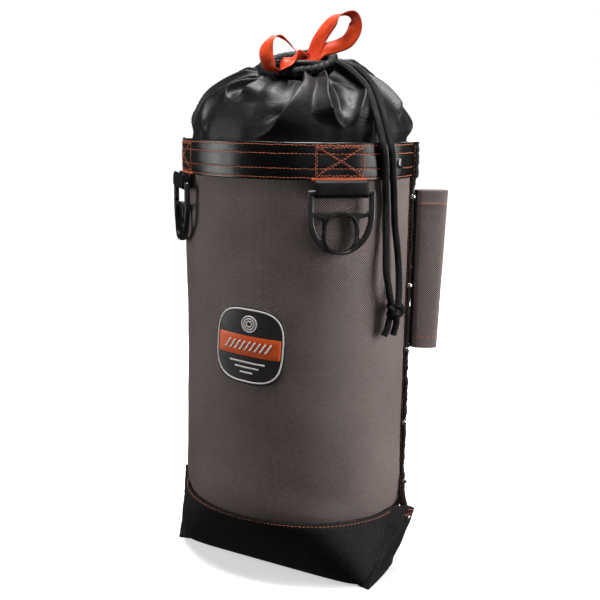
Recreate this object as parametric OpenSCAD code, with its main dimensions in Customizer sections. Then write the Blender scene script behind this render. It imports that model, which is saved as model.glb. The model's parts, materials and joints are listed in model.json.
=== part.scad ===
// Rope storage bag: a tall oval cloth bag on a boxed base, with a stiff band at the mouth,
// two swinging D-rings, a cinched nylon skirt with a drawcord, and a tool sleeve on one seam.
// Millimetres. +Z is up, the front is -Y, and the origin is the centre of the base's underside.

/* [Bag] */
// Half width of the bag at its mouth band, side to side
body_half_w = 119; // [100:1:140]
// Half depth of the bag at its mouth band, front to back
body_half_d = 104; // [90:1:120]
// Height of the seam between the base cloth and the body cloth
seam_z = 70; // [50:1:90]
// Height of the lower edge of the mouth band
band_z = 405; // [380:1:420]
// Height of the mouth band
band_h = 34; // [28:1:40]
// Thickness of the body cloth
cloth = 1.6; // [1.2:0.1:1.8]
// Angle of the right side seam from the front, around the bag
right_seam_angle = 100; // [96:0.5:101]
// Angle of the left side seam from the front, around the bag
left_seam_angle = 90; // [88:0.5:94]

/* [Base] */
// Half width of the flat base, side to side
base_half_w = 116; // [100:1:130]
// Half depth of the flat base, front to back
base_half_d = 52; // [45:1:60]
// Height of the tip of the folded ear at the right end
right_tip_z = 72; // [64:1:76]
// Height of the tip of the folded ear at the left end
left_tip_z = 66; // [60:1:70]

/* [D-rings] */
// Angle of each D-ring from the front, around the bag
ring_angle = 46.7; // [40:0.1:52]
// Width of the webbing loops that hold the D-rings
webbing_w = 50; // [44:1:54]
// Width of a D-ring
ring_w = 63.5; // [60:0.5:68]
// Height of a D-ring, from its top bar's upper side to its lowest point
ring_h = 60; // [56:0.5:64]
// Thickness of a D-ring
ring_t = 6; // [5:0.5:7]

/* [Mouth] */
// Height of the middle of the gathered mouth's hem
mouth_z = 512; // [510:1:512]
// Radius of the ring that the drawcord makes inside the mouth's hem
mouth_r = 34; // [30:1:34]
// Diameter of the drawcord
cord_d = 6; // [5:0.5:6.5]
// Width of the pull ribbons
ribbon_w = 16; // [12:1:18]

/* [Tool sleeve] */
// Height of the tool sleeve
sleeve_h = 158; // [140:1:170]
// Width of the tool sleeve, outwards from its seam
sleeve_w = 29; // [26:1:40]
// Gap inside the tool sleeve
sleeve_gap = 7; // [6:0.5:9]

/* [Hidden] */

BLACK = "#1c1c1e";
GREY = "#69605d";
ORANGE = "#e2481f";
STEEL = "#c9c6c2";

band_top = band_z + band_h;
band_t = 1.6;
gap = 0.3;
// The bag is slightly slimmer at its seam with the base
low_half_w = body_half_w - 1;
low_half_d = body_half_d - 2;
panel_gap = 2.5;
binding_out = 5;
binding_half = 3.6;
hem_r = 5.6;
base_front_n = 9;
base_back_n = 2.3;
rivet_r = 4.5;
ring_bar_r = 3;
ring_rim = 5.5;
ring_window_h = 21;
ring_end_h = ring_h - ring_bar_r - ring_window_h;
ring_eye_r = 14.2;
ring_eye_tall = 4.2;
ring_eye_wall = 2.6;
ring_eye_z = -(ring_h - ring_bar_r) + 3.6 + ring_eye_r + ring_eye_tall / 2;
loop_t = 1.8;
loop_bore_r = ring_bar_r + 0.08;
ring_bar_z = band_z - 11;
ring_gap = 0.6;
sleeve_low_z = 235;
sleeve_angle = 30;
sleeve_hinge = [122.1, 21.5];
ribbon_t = 0.9;

// Route of the front strand of the drawcord, from the hem to the knot
FRONT_STRAND = [[43, -1, 514], [52, -6, 511], [64, -13, 506], [78, -19, 497], [88, -24, 489],
    [95, -29, 480], [101, -34, 471], [107, -39, 460], [112, -42, 448], [116, -44, 437],
    [117, -42, 424], [117, -40, 410], [117, -38, 396], [117, -36, 382], [117, -36, 363],
    [118, -36, 344], [119, -37, 328], [120, -37, 316], [122, -36, 305], [123, -35, 296],
    [124, -33, 288]];
// Route of the rear strand of the drawcord
REAR_STRAND = [[42, 12, 514], [52, 9, 511], [64, 2, 508], [77, -4, 500], [88, -10, 491],
    [98, -19, 481], [105, -26, 471], [111, -31, 460], [116, -34, 448], [120, -36, 437],
    [121, -34, 424], [121, -32, 410], [121, -29, 396], [121, -27, 381], [121, -24, 362],
    [123, -22, 343], [124, -20, 327], [125, -20, 314], [126, -21, 303], [127, -23, 295],
    [128, -26, 288]];
KNOT = [126, -29, 281];
// The two tails below the knot
TAILS = [[[123, -33, 274], [122, -34, 268], [121, -35, 262], [119, -36, 257]],
    [[127, -27, 274], [127, -27, 268], [126, -28, 262], [125, -29, 257]]];

// Points of the two ribbon loops: across the front view, towards the viewer, and height
LEFT_LOOP = [[8, 12, 521.5], [-2, 15, 531], [-11, 20, 538], [-21, 28, 541], [-30, 36, 536],
    [-34, 41, 525], [-32, 44, 515], [-27, 44, 511], [-21, 38, 520], [-9, 24, 522.5], [2, 14, 520]];
RIGHT_LOOP = [[18, 12, 520.5], [23, 10, 531], [31, 10, 546], [41, 11, 559], [49, 14, 564],
    [56, 18, 559], [59, 21, 548], [54, 21, 538], [45, 19, 531], [31, 16, 525]];

// A point on an oval; n above 2 squares the oval's corners
function oval(t, a, b, n = 2) =
    [a * sign(sin(t)) * pow(abs(sin(t)), 2 / n), -b * sign(cos(t)) * pow(abs(cos(t)), 2 / n)];
function unit(v) = v / norm(v);
function lift(p, z) = [p[0], p[1], z];
function ring_of(a, b, z, n = 2, steps = 48) =
    [for (i = [0:steps - 1]) lift(oval(360 * i / steps, a, b, n), z)];
// The outward direction of the bag's wall at angle t
function out_of(t) = unit([sin(t) / body_half_w, -cos(t) / body_half_d]);
function half_w(z) = low_half_w + (body_half_w - low_half_w) * (z - seam_z) / (band_z - seam_z);
function half_d(z) = low_half_d + (body_half_d - low_half_d) * (z - seam_z) / (band_z - seam_z);

// Joins rings of points into a solid; a closed one has no ends, an open one has flat ends
module loft(rings, closed = false) {
    n = len(rings[0]);
    m = len(rings);
    last = closed ? m - 1 : m - 2;
    sides = [for (j = [0:last], i = [0:n - 1])
        let (k = (j + 1) % m, h = (i + 1) % n) each [
            [j * n + i, k * n + i, k * n + h],
            [j * n + i, k * n + h, j * n + h]]];
    ends = closed ? [] : [[for (i = [0:n - 1]) i], [for (i = [n - 1:-1:0]) (m - 1) * n + i]];
    polyhedron([for (r = rings) each r], concat(sides, ends));
}

// Joins thin curved strips of points into a solid, with ends made of four-sided faces
module strip_stack(rings) {
    n = len(rings[0]);
    m = len(rings);
    half = n / 2;
    sides = [for (j = [0:m - 2], i = [0:n - 1])
        let (h = (i + 1) % n) each [
            [j * n + i, (j + 1) * n + i, (j + 1) * n + h],
            [j * n + i, (j + 1) * n + h, j * n + h]]];
    low = [for (i = [0:half - 2]) each [[i, i + 1, n - 2 - i], [i, n - 2 - i, n - 1 - i]]];
    top = (m - 1) * n;
    high = [for (i = [0:half - 2]) each [
        [top + i, top + n - 2 - i, top + i + 1],
        [top + i, top + n - 1 - i, top + n - 2 - i]]];
    polyhedron([for (r = rings) each r], concat(sides, low, high));
}

// A round tube along points; each ring is square to the direction between its neighbours
function along(p, i) =
    unit(p[min(i + 1, len(p) - 1)] - p[max(i - 1, 0)]);
module tube(points, d, sides = 10) {
    loft([for (i = [0:len(points) - 1])
        let (dir = along(points, i), u = unit(cross([0.35, -0.94, 0.02], dir)), v = cross(dir, u))
        [for (k = [sides - 1:-1:0])
            points[i] + (u * cos(360 * k / sides) + v * sin(360 * k / sides)) * d / 2]]);
}

// A flat band along a closed path, with its width along one direction
module band_loop(points, across, width, thick) {
    m = len(points);
    w = unit(across) * width / 2;
    loft([for (i = [0:m - 1])
        let (dir = unit(points[(i + 1) % m] - points[(i + m - 1) % m]),
            n = unit(cross(dir, unit(across))) * thick / 2)
        [points[i] + w + n, points[i] - w + n, points[i] - w - n, points[i] + w - n]],
        closed = true);
}

// A smooth closed path through points, with two more points between each pair
function smooth(p, n = 3) = [for (i = [0:len(p) - 1], s = [0:n - 1])
    let (m = len(p), t = s / n, a = p[(i + m - 1) % m], b = p[i], c = p[(i + 1) % m],
        d = p[(i + 2) % m])
    (2 * b + (c - a) * t + (2 * a - 5 * b + 4 * c - d) * t * t
        + (3 * b - a - 3 * c + d) * t * t * t) / 2];
// From (across the view, towards the viewer, height) to the bag's frame; the view is 30 degrees round
function from_view(p) =
    [p[0] * cos(30) + p[1] * sin(30), p[0] * sin(30) - p[1] * cos(30), p[2]];

// A point beside a side seam: out of the wall, along it towards the back, and height
function by_seam(t, out, back, z) =
    let (n = out_of(t), p = oval(t, half_w(z), half_d(z)))
    [p[0] + n[0] * out - n[1] * back, p[1] + n[1] * out + n[0] * back, z];

// Places children on the bag's wall at angle t, with +X along the wall and +Y into the bag
module on_wall(t, z, out = 0) {
    n = out_of(t);
    p = oval(t, half_w(z), half_d(z)) + n * out;
    translate([p[0], p[1], z]) rotate([0, 0, atan2(n[1], n[0]) + 90]) children();
}

module body_panel(from, to) {
    angles = [for (i = [0:28]) from + panel_gap + (to - from - 2 * panel_gap) * i / 28];
    back = [for (i = [len(angles) - 1:-1:0]) angles[i]];
    levels = [seam_z, 140, 210, 280, 350, band_top - 1];
    strip_stack([for (z = levels) concat(
        [for (t = angles) lift(oval(t, half_w(z), half_d(z)), z)],
        [for (t = back) lift(oval(t, half_w(z) - cloth, half_d(z) - cloth), z)])]);
}
module front_panel() { color(GREY) body_panel(-left_seam_angle, right_seam_angle); }
module back_panel() { color(GREY) body_panel(right_seam_angle, 360 - left_seam_angle); }

// The base's wall: at the floor its front is squared and its back is rounder, and it becomes the
// bag's oval at the seam
function base_ring(z, inset = 0) =
    let (s = z / (seam_z - gap), e = pow(s, 0.8), blend = pow(s, 0.35),
        a = base_half_w + (low_half_w - base_half_w) * e - inset,
        b = base_half_d + (low_half_d - base_half_d) * e - inset)
    [for (i = [0:63]) let (t = 360 * i / 64, n = cos(t) > 0 ? base_front_n : base_back_n)
        lift(oval(t, a, b, n + (2 - n) * blend), z)];
module base_shell() {
    levels = [0, 3, 10, 20, 32, 45, 58, seam_z - gap];
    color(BLACK) loft(concat(
        [for (z = levels) base_ring(z)],
        [for (i = [len(levels) - 1:-1:1]) base_ring(levels[i], 2.2)]));
}
// A stiff board lies on the base's cloth floor
module base_board() {
    color(BLACK) translate([0, 0, 3 + gap]) linear_extrude(2)
        polygon([for (i = [0:47]) let (t = 7.5 * i)
            oval(t, base_half_w - 4, base_half_d - 4, cos(t) > 0 ? base_front_n : base_back_n)]);
}

// A folded triangular ear: a flap that leans outwards from the base's end up to its tip on the
// side seam. Each level is its height as a share of the tip's, its front edge's x and y, and its
// rear corner's x and y.
RIGHT_EAR = [[0, 120, -47, 119, 8], [0.1, 119.8, -42.5, 117, 18], [0.21, 119.5, -37.4, 115, 31],
    [0.625, 127.3, -12.9, 125, 29], [0.92, 133.1, 2.9, 130.5, 24], [1, 134.5, 7, 132.5, 20]];
LEFT_EAR = [[0, 120, -47, 119, 8], [0.1, 120.5, -43.5, 117.5, 18], [0.21, 121, -40, 116, 30],
    [0.64, 132, -21, 127, 20], [0.91, 139, -9, 136, 11], [1, 141, -6, 139, 7]];
ear_t = 3;
module base_ear(levels, tip_z) {
    loft([for (e = levels)
        let (z = e[0] * tip_z, mid = e[2] + 0.65 * (e[4] - e[2]),
            outer = [[e[1], e[2], z], [e[1], mid, z], [e[3], e[4], z]])
        concat(outer, [for (i = [2:-1:0]) outer[i] - [ear_t, 0, 0]])]);
}
module left_base_ear() { color(BLACK) mirror([1, 0, 0]) base_ear(LEFT_EAR, left_tip_z); }
module right_base_ear() { color(BLACK) base_ear(RIGHT_EAR, right_tip_z); }

// A rivet cap: a low dome with a flat back
module rivet_cap(r = rivet_r, h = 1.8) {
    rotate_extrude($fn = 32) polygon([[0, 0], [r, 0], [r, h * 0.35], [r * 0.8, h * 0.75],
        [r * 0.4, h * 0.95], [0, h]]);
}
// The ears lean outwards, and their rivets lean with them
module right_ear_rivet() {
    color(STEEL) translate([131.1, 9, right_tip_z - 15]) rotate([0, 106, 0]) rivet_cap();
}
module left_ear_rivet() {
    color(STEEL) mirror([1, 0, 0]) translate([136.6, 0, left_tip_z - 15]) rotate([0, 111, 0])
        rivet_cap();
}

// The band round the mouth, outside the body cloth
function wall_ring(z, out) = ring_of(half_w(z) + out, half_d(z) + out, z, 2, 64);
module top_band() {
    color(BLACK) loft([wall_ring(band_z, gap), wall_ring(band_z, gap + band_t),
        wall_ring(band_top, gap + band_t), wall_ring(band_top, -cloth - gap - 3),
        wall_ring(band_top - 0.8, -cloth - gap - 3), wall_ring(band_top - 0.8, gap)], closed = true);
}
// A plastic strip inside the band keeps the mouth open
module band_stiffener() {
    low = band_z + 3;
    high = band_top - 1.2;
    color(BLACK) loft([wall_ring(low, -cloth - gap - 1.8), wall_ring(low, -cloth - gap),
        wall_ring(high, -cloth - gap), wall_ring(high, -cloth - gap - 1.8)], closed = true);
}

// A narrow binding that folds over the cloth's edges along a side seam, down to the ear's tip.
// Each level is its height, and its distances out of the wall and towards the back.
module seam_binding(t, tip_z) {
    over_band = gap + band_t + 0.4;
    levels = [[tip_z + 6, 13, -5], [tip_z + 20, 7, -3], [tip_z + 38, 1.5, 0], [140, -0.6, 0],
        [band_z - 6, -0.8, 0], [band_z - 1, over_band, 0], [band_top, over_band, 0]];
    loft([for (l = levels) [
        by_seam(t, l[1], l[2] + binding_half, l[0]), by_seam(t, l[1], l[2] - binding_half, l[0]),
        by_seam(t, l[1] + binding_out, l[2] - binding_half + 1, l[0]),
        by_seam(t, l[1] + binding_out, l[2] + binding_half - 1, l[0])]]);
}
module left_seam_binding() {
    color(BLACK) mirror([1, 0, 0]) seam_binding(left_seam_angle, left_tip_z);
}
module right_seam_binding() { color(BLACK) seam_binding(right_seam_angle, right_tip_z); }

// Rivets through the binding, on the face that looks forwards: height, and distance out of the wall
RIVETS = [[95, 9], [156, 3.1], [233, 3.1], [298, 3.1], [386, 3.1]];
module seam_rivets(t) {
    n = out_of(t);
    color(STEEL) for (r = RIVETS)
        translate(by_seam(t, r[1], (r[0] < 100 ? -3.2 : 0) - binding_half - 0.3, r[0]))
            rotate([0, 0, atan2(n[1], n[0])]) rotate([90, 0, 0]) rivet_cap(3, 1.6);
}
module right_seam_rivets() { seam_rivets(right_seam_angle); }
module left_seam_rivets() { mirror([1, 0, 0]) seam_rivets(left_seam_angle); }
module band_rivets() {
    color(BLACK) for (t = [-82, 82])
        on_wall(t, band_z + 15, gap + band_t) rotate([90, 0, 0]) rivet_cap(5.5, 1.6);
}

// The nylon skirt: a thin dome from inside the band up to the mouth
SKIRT = [[1, 0], [0.99, 0.16], [0.965, 0.32], [0.91, 0.5], [0.81, 0.67], [0.65, 0.83],
    [0.48, 0.95], [0.34, 1]];
skirt_in = 6;
module skirt() {
    low = band_top - 16;
    rise = mouth_z - hem_r - gap - low;
    a = body_half_w - skirt_in;
    b = body_half_d - skirt_in;
    outer = [for (s = SKIRT)
        ring_of(a * s[0], b * s[0] + 4 * (1 - s[0]), low + rise * s[1])];
    inner = [for (i = [len(SKIRT) - 1:-1:0]) let (s = SKIRT[i])
        ring_of(a * s[0] - 1.6, b * s[0] + 4 * (1 - s[0]) - 1.6, low + (rise - 1.2) * s[1])];
    color(BLACK) loft(concat(outer, inner), closed = true);
}
// The hem at the mouth is a channel round the drawcord
module mouth_ring(r) {
    translate([0, 0, mouth_z]) rotate_extrude($fn = 96) translate([mouth_r, 0]) difference() {
        circle(r = r, $fn = 24);
        children();
    }
}
module mouth_hem() { color(BLACK) mouth_ring(hem_r) circle(r = cord_d / 2 + 0.6, $fn = 24); }
module drawcord_in_hem() { color(BLACK) mouth_ring(cord_d / 2); }
module drawcord_front_strand() { color(BLACK) tube(FRONT_STRAND, cord_d); }
module drawcord_rear_strand() { color(BLACK) tube(REAR_STRAND, cord_d); }
module drawcord_knot() {
    color(BLACK) translate(KNOT) scale(1) sphere(r = 8.6, $fn = 32);
}
module drawcord_tails() { color(BLACK) for (t = TAILS) tube(t, cord_d - 0.4); }

module left_pull_ribbon() {
    color(ORANGE) band_loop([for (p = smooth(LEFT_LOOP)) from_view(p)], from_view([0.6, 0.8, 0]),
        ribbon_w, ribbon_t);
}
module right_pull_ribbon() {
    color(ORANGE) band_loop([for (p = smooth(RIGHT_LOOP)) from_view(p)], from_view([-0.6, 0.8, 0]),
        ribbon_w, ribbon_t);
}

// A D-ring, drawn flat below its bar: a wide window, then an eye in a rounded end
module ring_outline(inset) {
    w = ring_w / 2 - inset;
    polygon(concat([[-w, 0]], [for (a = [180:-7.5:0])
        [w * cos(a), -ring_window_h - (ring_end_h - inset) * sin(a)]], [[w, 0]]));
}
module slot(r, tall) {
    for (z = [-tall / 2, tall / 2]) translate([0, z]) circle(r = r, $fn = 64);
    translate([-r, -tall / 2]) square([2 * r, tall]);
}
module d_ring() {
    rotate([90, 0, 0]) translate([0, 0, -ring_t / 2]) linear_extrude(ring_t) difference() {
        union() {
            difference() {
                ring_outline(0);
                ring_outline(ring_rim);
            }
            translate([0, ring_eye_z]) slot(ring_eye_r + ring_eye_wall, ring_eye_tall);
            for (s = [-1, 1])
                polygon([[s * 11, -ring_window_h], [s * 28, -ring_window_h + 4],
                    [s * 28, -ring_window_h - 2], [s * 13, -ring_window_h - 6]]);
        }
        translate([0, ring_eye_z]) slot(ring_eye_r, ring_eye_tall);
    }
    translate([-ring_w / 2 + 1, 0, 0]) rotate([0, 90, 0])
        cylinder(r = ring_bar_r, h = ring_w - 2, $fn = 32);
}
ring_out = ring_gap + loop_t + loop_bore_r;
module left_d_ring() { color(BLACK) on_wall(-ring_angle, ring_bar_z, ring_out) d_ring(); }
module right_d_ring() { color(BLACK) on_wall(ring_angle, ring_bar_z, ring_out) d_ring(); }

// A webbing loop: down behind the bar, round it and up again, sewn in under the band
module ring_loop() {
    r = loop_bore_r + loop_t;
    up = band_z - gap - ring_bar_z;
    translate([-webbing_w / 2, 0, 0]) rotate([90, 0, 90]) linear_extrude(webbing_w) difference() {
        union() {
            circle(r = r, $fn = 48);
            translate([-r, 0]) square([2 * r, up]);
        }
        circle(r = loop_bore_r, $fn = 48);
        translate([-loop_bore_r, 0]) square([2 * loop_bore_r, up + 1]);
    }
}
module left_d_ring_loop() { color(BLACK) on_wall(-ring_angle, ring_bar_z, ring_out) ring_loop(); }
module right_d_ring_loop() { color(BLACK) on_wall(ring_angle, ring_bar_z, ring_out) ring_loop(); }

// Two layers of body cloth, open at the top and the bottom
module tool_sleeve() {
    t = sleeve_gap + 2 * cloth;
    color(GREY) translate([sleeve_hinge[0], sleeve_hinge[1], sleeve_low_z])
        rotate([0, 0, sleeve_angle]) linear_extrude(sleeve_h) difference() {
            polygon([[0, -1.2], [4, -t / 2], [sleeve_w - 3, -t / 2], [sleeve_w, -1.2], [sleeve_w, 1.2],
                [sleeve_w - 3, t / 2], [4, t / 2], [0, 1.2]]);
            polygon([[4, -sleeve_gap / 2], [sleeve_w - 4, -sleeve_gap / 2], [sleeve_w - 2.6, 0],
                [sleeve_w - 4, sleeve_gap / 2], [4, sleeve_gap / 2], [2.6, 0]]);
        }
}

// A plain rounded shield with a coloured stripe
label_w = 76;
label_h = 76;
module label_shape(inset) {
    w = label_w / 2 - inset;
    h = label_h / 2 - inset;
    polygon([for (i = [0:47]) oval(7.5 * i, w, h, 3.2)]);
}
module label_on_panel() {
    on_wall(4, 246, 0.6) rotate([90, 4, 0]) children();
}
module label_patch() {
    color(BLACK) label_on_panel() linear_extrude(1.2) label_shape(0);
}
module label_stripe() {
    color(ORANGE) label_on_panel() translate([0, 0, 1.2 + 0.05]) linear_extrude(0.6) intersection() {
        label_shape(4);
        translate([-label_w, -10]) square([2 * label_w, 20]);
    }
}

front_panel();
back_panel();
base_shell();
base_board();
left_base_ear();
right_base_ear();
left_ear_rivet();
right_ear_rivet();
top_band();
band_stiffener();
left_seam_binding();
right_seam_binding();
left_seam_rivets();
right_seam_rivets();
band_rivets();
skirt();
mouth_hem();
drawcord_in_hem();
drawcord_front_strand();
drawcord_rear_strand();
drawcord_knot();
drawcord_tails();
left_pull_ribbon();
right_pull_ribbon();
left_d_ring();
right_d_ring();
left_d_ring_loop();
right_d_ring_loop();
tool_sleeve();
label_patch();
label_stripe();
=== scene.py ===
"""Rope storage bag: the visible model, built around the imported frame. Metres, +Z up, front at -Y.

The bag's wall is an oval. A place on it is given by an angle t in degrees, measured from the front
towards +X, a height z, and a distance out of the wall.
"""
import bisect
import json
import math
import random

import bpy
from mathutils import Matrix, Vector, noise


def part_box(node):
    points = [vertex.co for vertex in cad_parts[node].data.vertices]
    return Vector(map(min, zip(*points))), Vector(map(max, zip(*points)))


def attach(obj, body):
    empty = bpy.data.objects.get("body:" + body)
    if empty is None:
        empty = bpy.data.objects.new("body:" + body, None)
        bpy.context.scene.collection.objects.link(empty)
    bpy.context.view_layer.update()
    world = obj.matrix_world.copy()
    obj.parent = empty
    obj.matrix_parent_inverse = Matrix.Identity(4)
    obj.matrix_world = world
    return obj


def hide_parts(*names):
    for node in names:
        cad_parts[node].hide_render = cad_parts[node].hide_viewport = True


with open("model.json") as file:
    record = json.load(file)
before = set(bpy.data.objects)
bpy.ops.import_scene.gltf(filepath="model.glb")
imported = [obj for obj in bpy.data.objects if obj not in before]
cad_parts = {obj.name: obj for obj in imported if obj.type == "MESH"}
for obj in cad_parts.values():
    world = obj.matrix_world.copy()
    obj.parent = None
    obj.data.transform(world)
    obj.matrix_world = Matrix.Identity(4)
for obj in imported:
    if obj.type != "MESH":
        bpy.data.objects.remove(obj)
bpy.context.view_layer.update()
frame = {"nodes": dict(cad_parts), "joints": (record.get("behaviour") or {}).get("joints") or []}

MM = 0.001
JOINTS = {joint["name"]: joint for joint in frame["joints"]}
BAND_LOW, BAND_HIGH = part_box("top_band")
HEM_LOW, HEM_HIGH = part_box("mouth_hem")

SEAM_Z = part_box("front_panel")[0].z
BAND_Z = BAND_LOW.z
BAND_TOP = BAND_HIGH.z
BAND_OUT = 1.9 * MM
WALL_W = BAND_HIGH.x - BAND_OUT - 0.1 * MM
WALL_D = BAND_HIGH.y - BAND_OUT - 0.2 * MM
SLIMMER_W = 1 * MM
SLIMMER_D = 2 * MM
CLOTH_T = 1.6 * MM
RIGHT_SEAM = 100.0
LEFT_SEAM = 90.0
RIGHT_TIP = 72
LEFT_TIP = 66
CORD_R = 3 * MM
BRAID_PITCH = 7 * MM
BRAID_STRANDS = 4


# Small helpers

def clamp(x, low=0.0, high=1.0):
    return min(max(x, low), high)


def ease(x):
    x = clamp(x)
    return x * x * (3 - 2 * x)


def bump(x, middle, width):
    """1 at the middle, falling smoothly to nothing over about the width."""
    return math.exp(-((x - middle) / width) ** 2)


def mix(a, b, f):
    return a + (b - a) * f


def ripple(place, scale, seed=0.0):
    """Smooth noise from -1 to 1; scale is the size of its features in metres."""
    return noise.noise(Vector(place) / scale + Vector((seed, 2.3 * seed, 5.1 * seed)))


def spline(points, steps, closed=False):
    """A smooth path through points, with that many steps between each pair."""
    count = len(points)
    path = []
    for i in range(count if closed else count - 1):
        if closed:
            a, b, c, d = (Vector(points[(i + k - 1) % count]) for k in range(4))
        else:
            b, c = Vector(points[i]), Vector(points[i + 1])
            a = Vector(points[i - 1]) if i else 2 * b - c
            d = Vector(points[i + 2]) if i + 2 < count else 2 * c - b
        for s in range(steps):
            t = s / steps
            path.append((2 * b + (c - a) * t + (2 * a - 5 * b + 4 * c - d) * t * t
                         + (3 * b - a - 3 * c + d) * t ** 3) / 2)
    if not closed:
        path.append(Vector(points[-1]))
    return path


def lengths(points):
    """The distance along the points to each of them."""
    total = [0.0]
    for a, b in zip(points, points[1:]):
        total.append(total[-1] + (b - a).length)
    return total


def spread(points, count):
    """That many points at even distances along a path."""
    total = lengths(points)
    even = []
    for i in range(count):
        want = total[-1] * i / (count - 1)
        k = min(max(bisect.bisect_right(total, want) - 1, 0), len(points) - 2)
        span = total[k + 1] - total[k]
        even.append(points[k].lerp(points[k + 1], (want - total[k]) / span if span else 0))
    return even


def direction(turn, tilt):
    """The way to a place at an angle round the bag from its front and an angle up, in radians."""
    return Vector((math.sin(turn) * math.cos(tilt), -math.cos(turn) * math.cos(tilt),
                   math.sin(tilt)))


# The camera

CAMERA_PLACE = Vector((0.49895, -0.85815, 0.46513))
CAMERA_TURN = math.radians(29.93)
CAMERA_TILT = math.radians(10.95)
CAMERA_ROLL = math.radians(0.78)
CAMERA_LENS = 58.06


def make_camera():
    back = direction(CAMERA_TURN, CAMERA_TILT)
    right = Vector((math.cos(CAMERA_TURN), math.sin(CAMERA_TURN), 0))
    up = back.cross(right)
    rolled_right = right * math.cos(CAMERA_ROLL) + up * math.sin(CAMERA_ROLL)
    rolled_up = up * math.cos(CAMERA_ROLL) - right * math.sin(CAMERA_ROLL)
    camera = bpy.data.objects.new("camera", bpy.data.cameras.new("camera"))
    camera.data.lens = CAMERA_LENS
    camera.data.sensor_width = 36
    camera.matrix_world = Matrix.Translation(CAMERA_PLACE) @ Matrix(
        (rolled_right, rolled_up, back)).transposed().to_4x4()
    bpy.context.scene.collection.objects.link(camera)
    bpy.context.scene.camera = camera


make_camera()


# Materials

class Shader:
    """A node material under construction."""

    def __init__(self, name):
        self.material = bpy.data.materials.new(name)
        self.material.use_nodes = True
        self.tree = self.material.node_tree
        self.tree.nodes.clear()
        self.out = self.tree.nodes.new("ShaderNodeOutputMaterial")
        self.surface = self.tree.nodes.new("ShaderNodeBsdfPrincipled")
        self.link(self.surface.outputs[0], self.out.inputs[0])

    def link(self, source, target):
        self.tree.links.new(source, target)

    def put(self, value, socket):
        if hasattr(value, "links"):
            self.link(value, socket)
        else:
            socket.default_value = value

    def set(self, **values):
        for name, value in values.items():
            self.put(value, self.surface.inputs[name.replace("_", " ")])

    def math(self, operation, *values):
        node = self.tree.nodes.new("ShaderNodeMath")
        node.operation = operation
        for value, socket in zip(values, node.inputs):
            self.put(value, socket)
        return node.outputs[0]

    def blend(self, factor, a, b):
        """A colour between a and b."""
        node = self.tree.nodes.new("ShaderNodeMix")
        node.data_type = "RGBA"
        self.put(factor, node.inputs[0])
        self.put(a, node.inputs[6])
        self.put(b, node.inputs[7])
        return node.outputs[2]

    def range(self, value, low, high, to_low=0.0, to_high=1.0):
        node = self.tree.nodes.new("ShaderNodeMapRange")
        for put, socket in zip((value, low, high, to_low, to_high), node.inputs):
            self.put(put, socket)
        return node.outputs[0]

    def place(self):
        """The point on the object, in metres."""
        return self.tree.nodes.new("ShaderNodeTexCoord").outputs["Object"]

    def cloth(self):
        """The distances along and across the piece's own cloth, in metres."""
        node = self.tree.nodes.new("ShaderNodeAttribute")
        node.attribute_name = "cloth"
        parts = self.tree.nodes.new("ShaderNodeSeparateXYZ")
        self.link(node.outputs["Vector"], parts.inputs[0])
        return node.outputs["Vector"], parts.outputs[0], parts.outputs[1]

    def wave(self, distance, pitch):
        """A sine that repeats at every pitch."""
        return self.math("SINE", self.math("MULTIPLY", distance, 2 * math.pi / pitch))

    def checks(self, along, across, pitch):
        """Two crossing waves, from 0 in the hollows to 1 on the crowns."""
        both = self.math("MULTIPLY", self.wave(along, pitch), self.wave(across, pitch))
        return self.math("MULTIPLY_ADD", both, 0.5, 0.5)

    def scaled(self, vector, scale):
        node = self.tree.nodes.new("ShaderNodeVectorMath")
        node.operation = "MULTIPLY"
        self.link(vector, node.inputs[0])
        node.inputs[1].default_value = scale
        return node.outputs[0]

    def noise(self, vector, scale, detail=2.0, rough=0.5):
        node = self.tree.nodes.new("ShaderNodeTexNoise")
        self.link(vector, node.inputs["Vector"])
        node.inputs["Scale"].default_value = scale
        node.inputs["Detail"].default_value = detail
        node.inputs["Roughness"].default_value = rough
        return node.outputs[0]

    def bump(self, height, distance, strength=1.0, before=None):
        node = self.tree.nodes.new("ShaderNodeBump")
        node.inputs["Strength"].default_value = strength
        node.inputs["Distance"].default_value = distance
        self.link(height, node.inputs["Height"])
        if before:
            self.link(before, node.inputs["Normal"])
        self.link(node.outputs[0], self.surface.inputs["Normal"])
        return node.outputs[0]


def colour(red, green, blue):
    return (red, green, blue, 1.0)


def woven(name, dark, light, pitch, depth, roughness, sheen, fleck, gloss):
    """A plain weave of thick yarns, whose crowns show as rows of small dots: painted highlight on the
    crowns and painted shade in the hollows between them.
    """
    shader = Shader(name)
    vector, along, across = shader.cloth()
    height = shader.checks(along, across, pitch)
    speck = shader.noise(vector, 0.45 / pitch, 1.0)
    wear = shader.noise(vector, 12.0, 3.0)
    # The colour follows the weave's height: painted highlight on the yarns' crowns and painted shade in
    # the hollows, times random flecks, then random wear patches on top.
    shade = shader.math("MULTIPLY", shader.range(height, 0.36, 0.82, 0.0, 0.92),
                        shader.range(speck, 0.3, 0.7, 1 - fleck, 1.0))
    shade = shader.math("ADD", shade, shader.range(wear, 0.35, 0.65, 0.0, 0.08))
    shader.set(Base_Color=shader.blend(shade, colour(*dark), colour(*light)),
               Roughness=roughness, Sheen_Weight=sheen, Specular_IOR_Level=gloss)
    shader.bump(height, depth, 0.9)
    return shader.material


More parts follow.
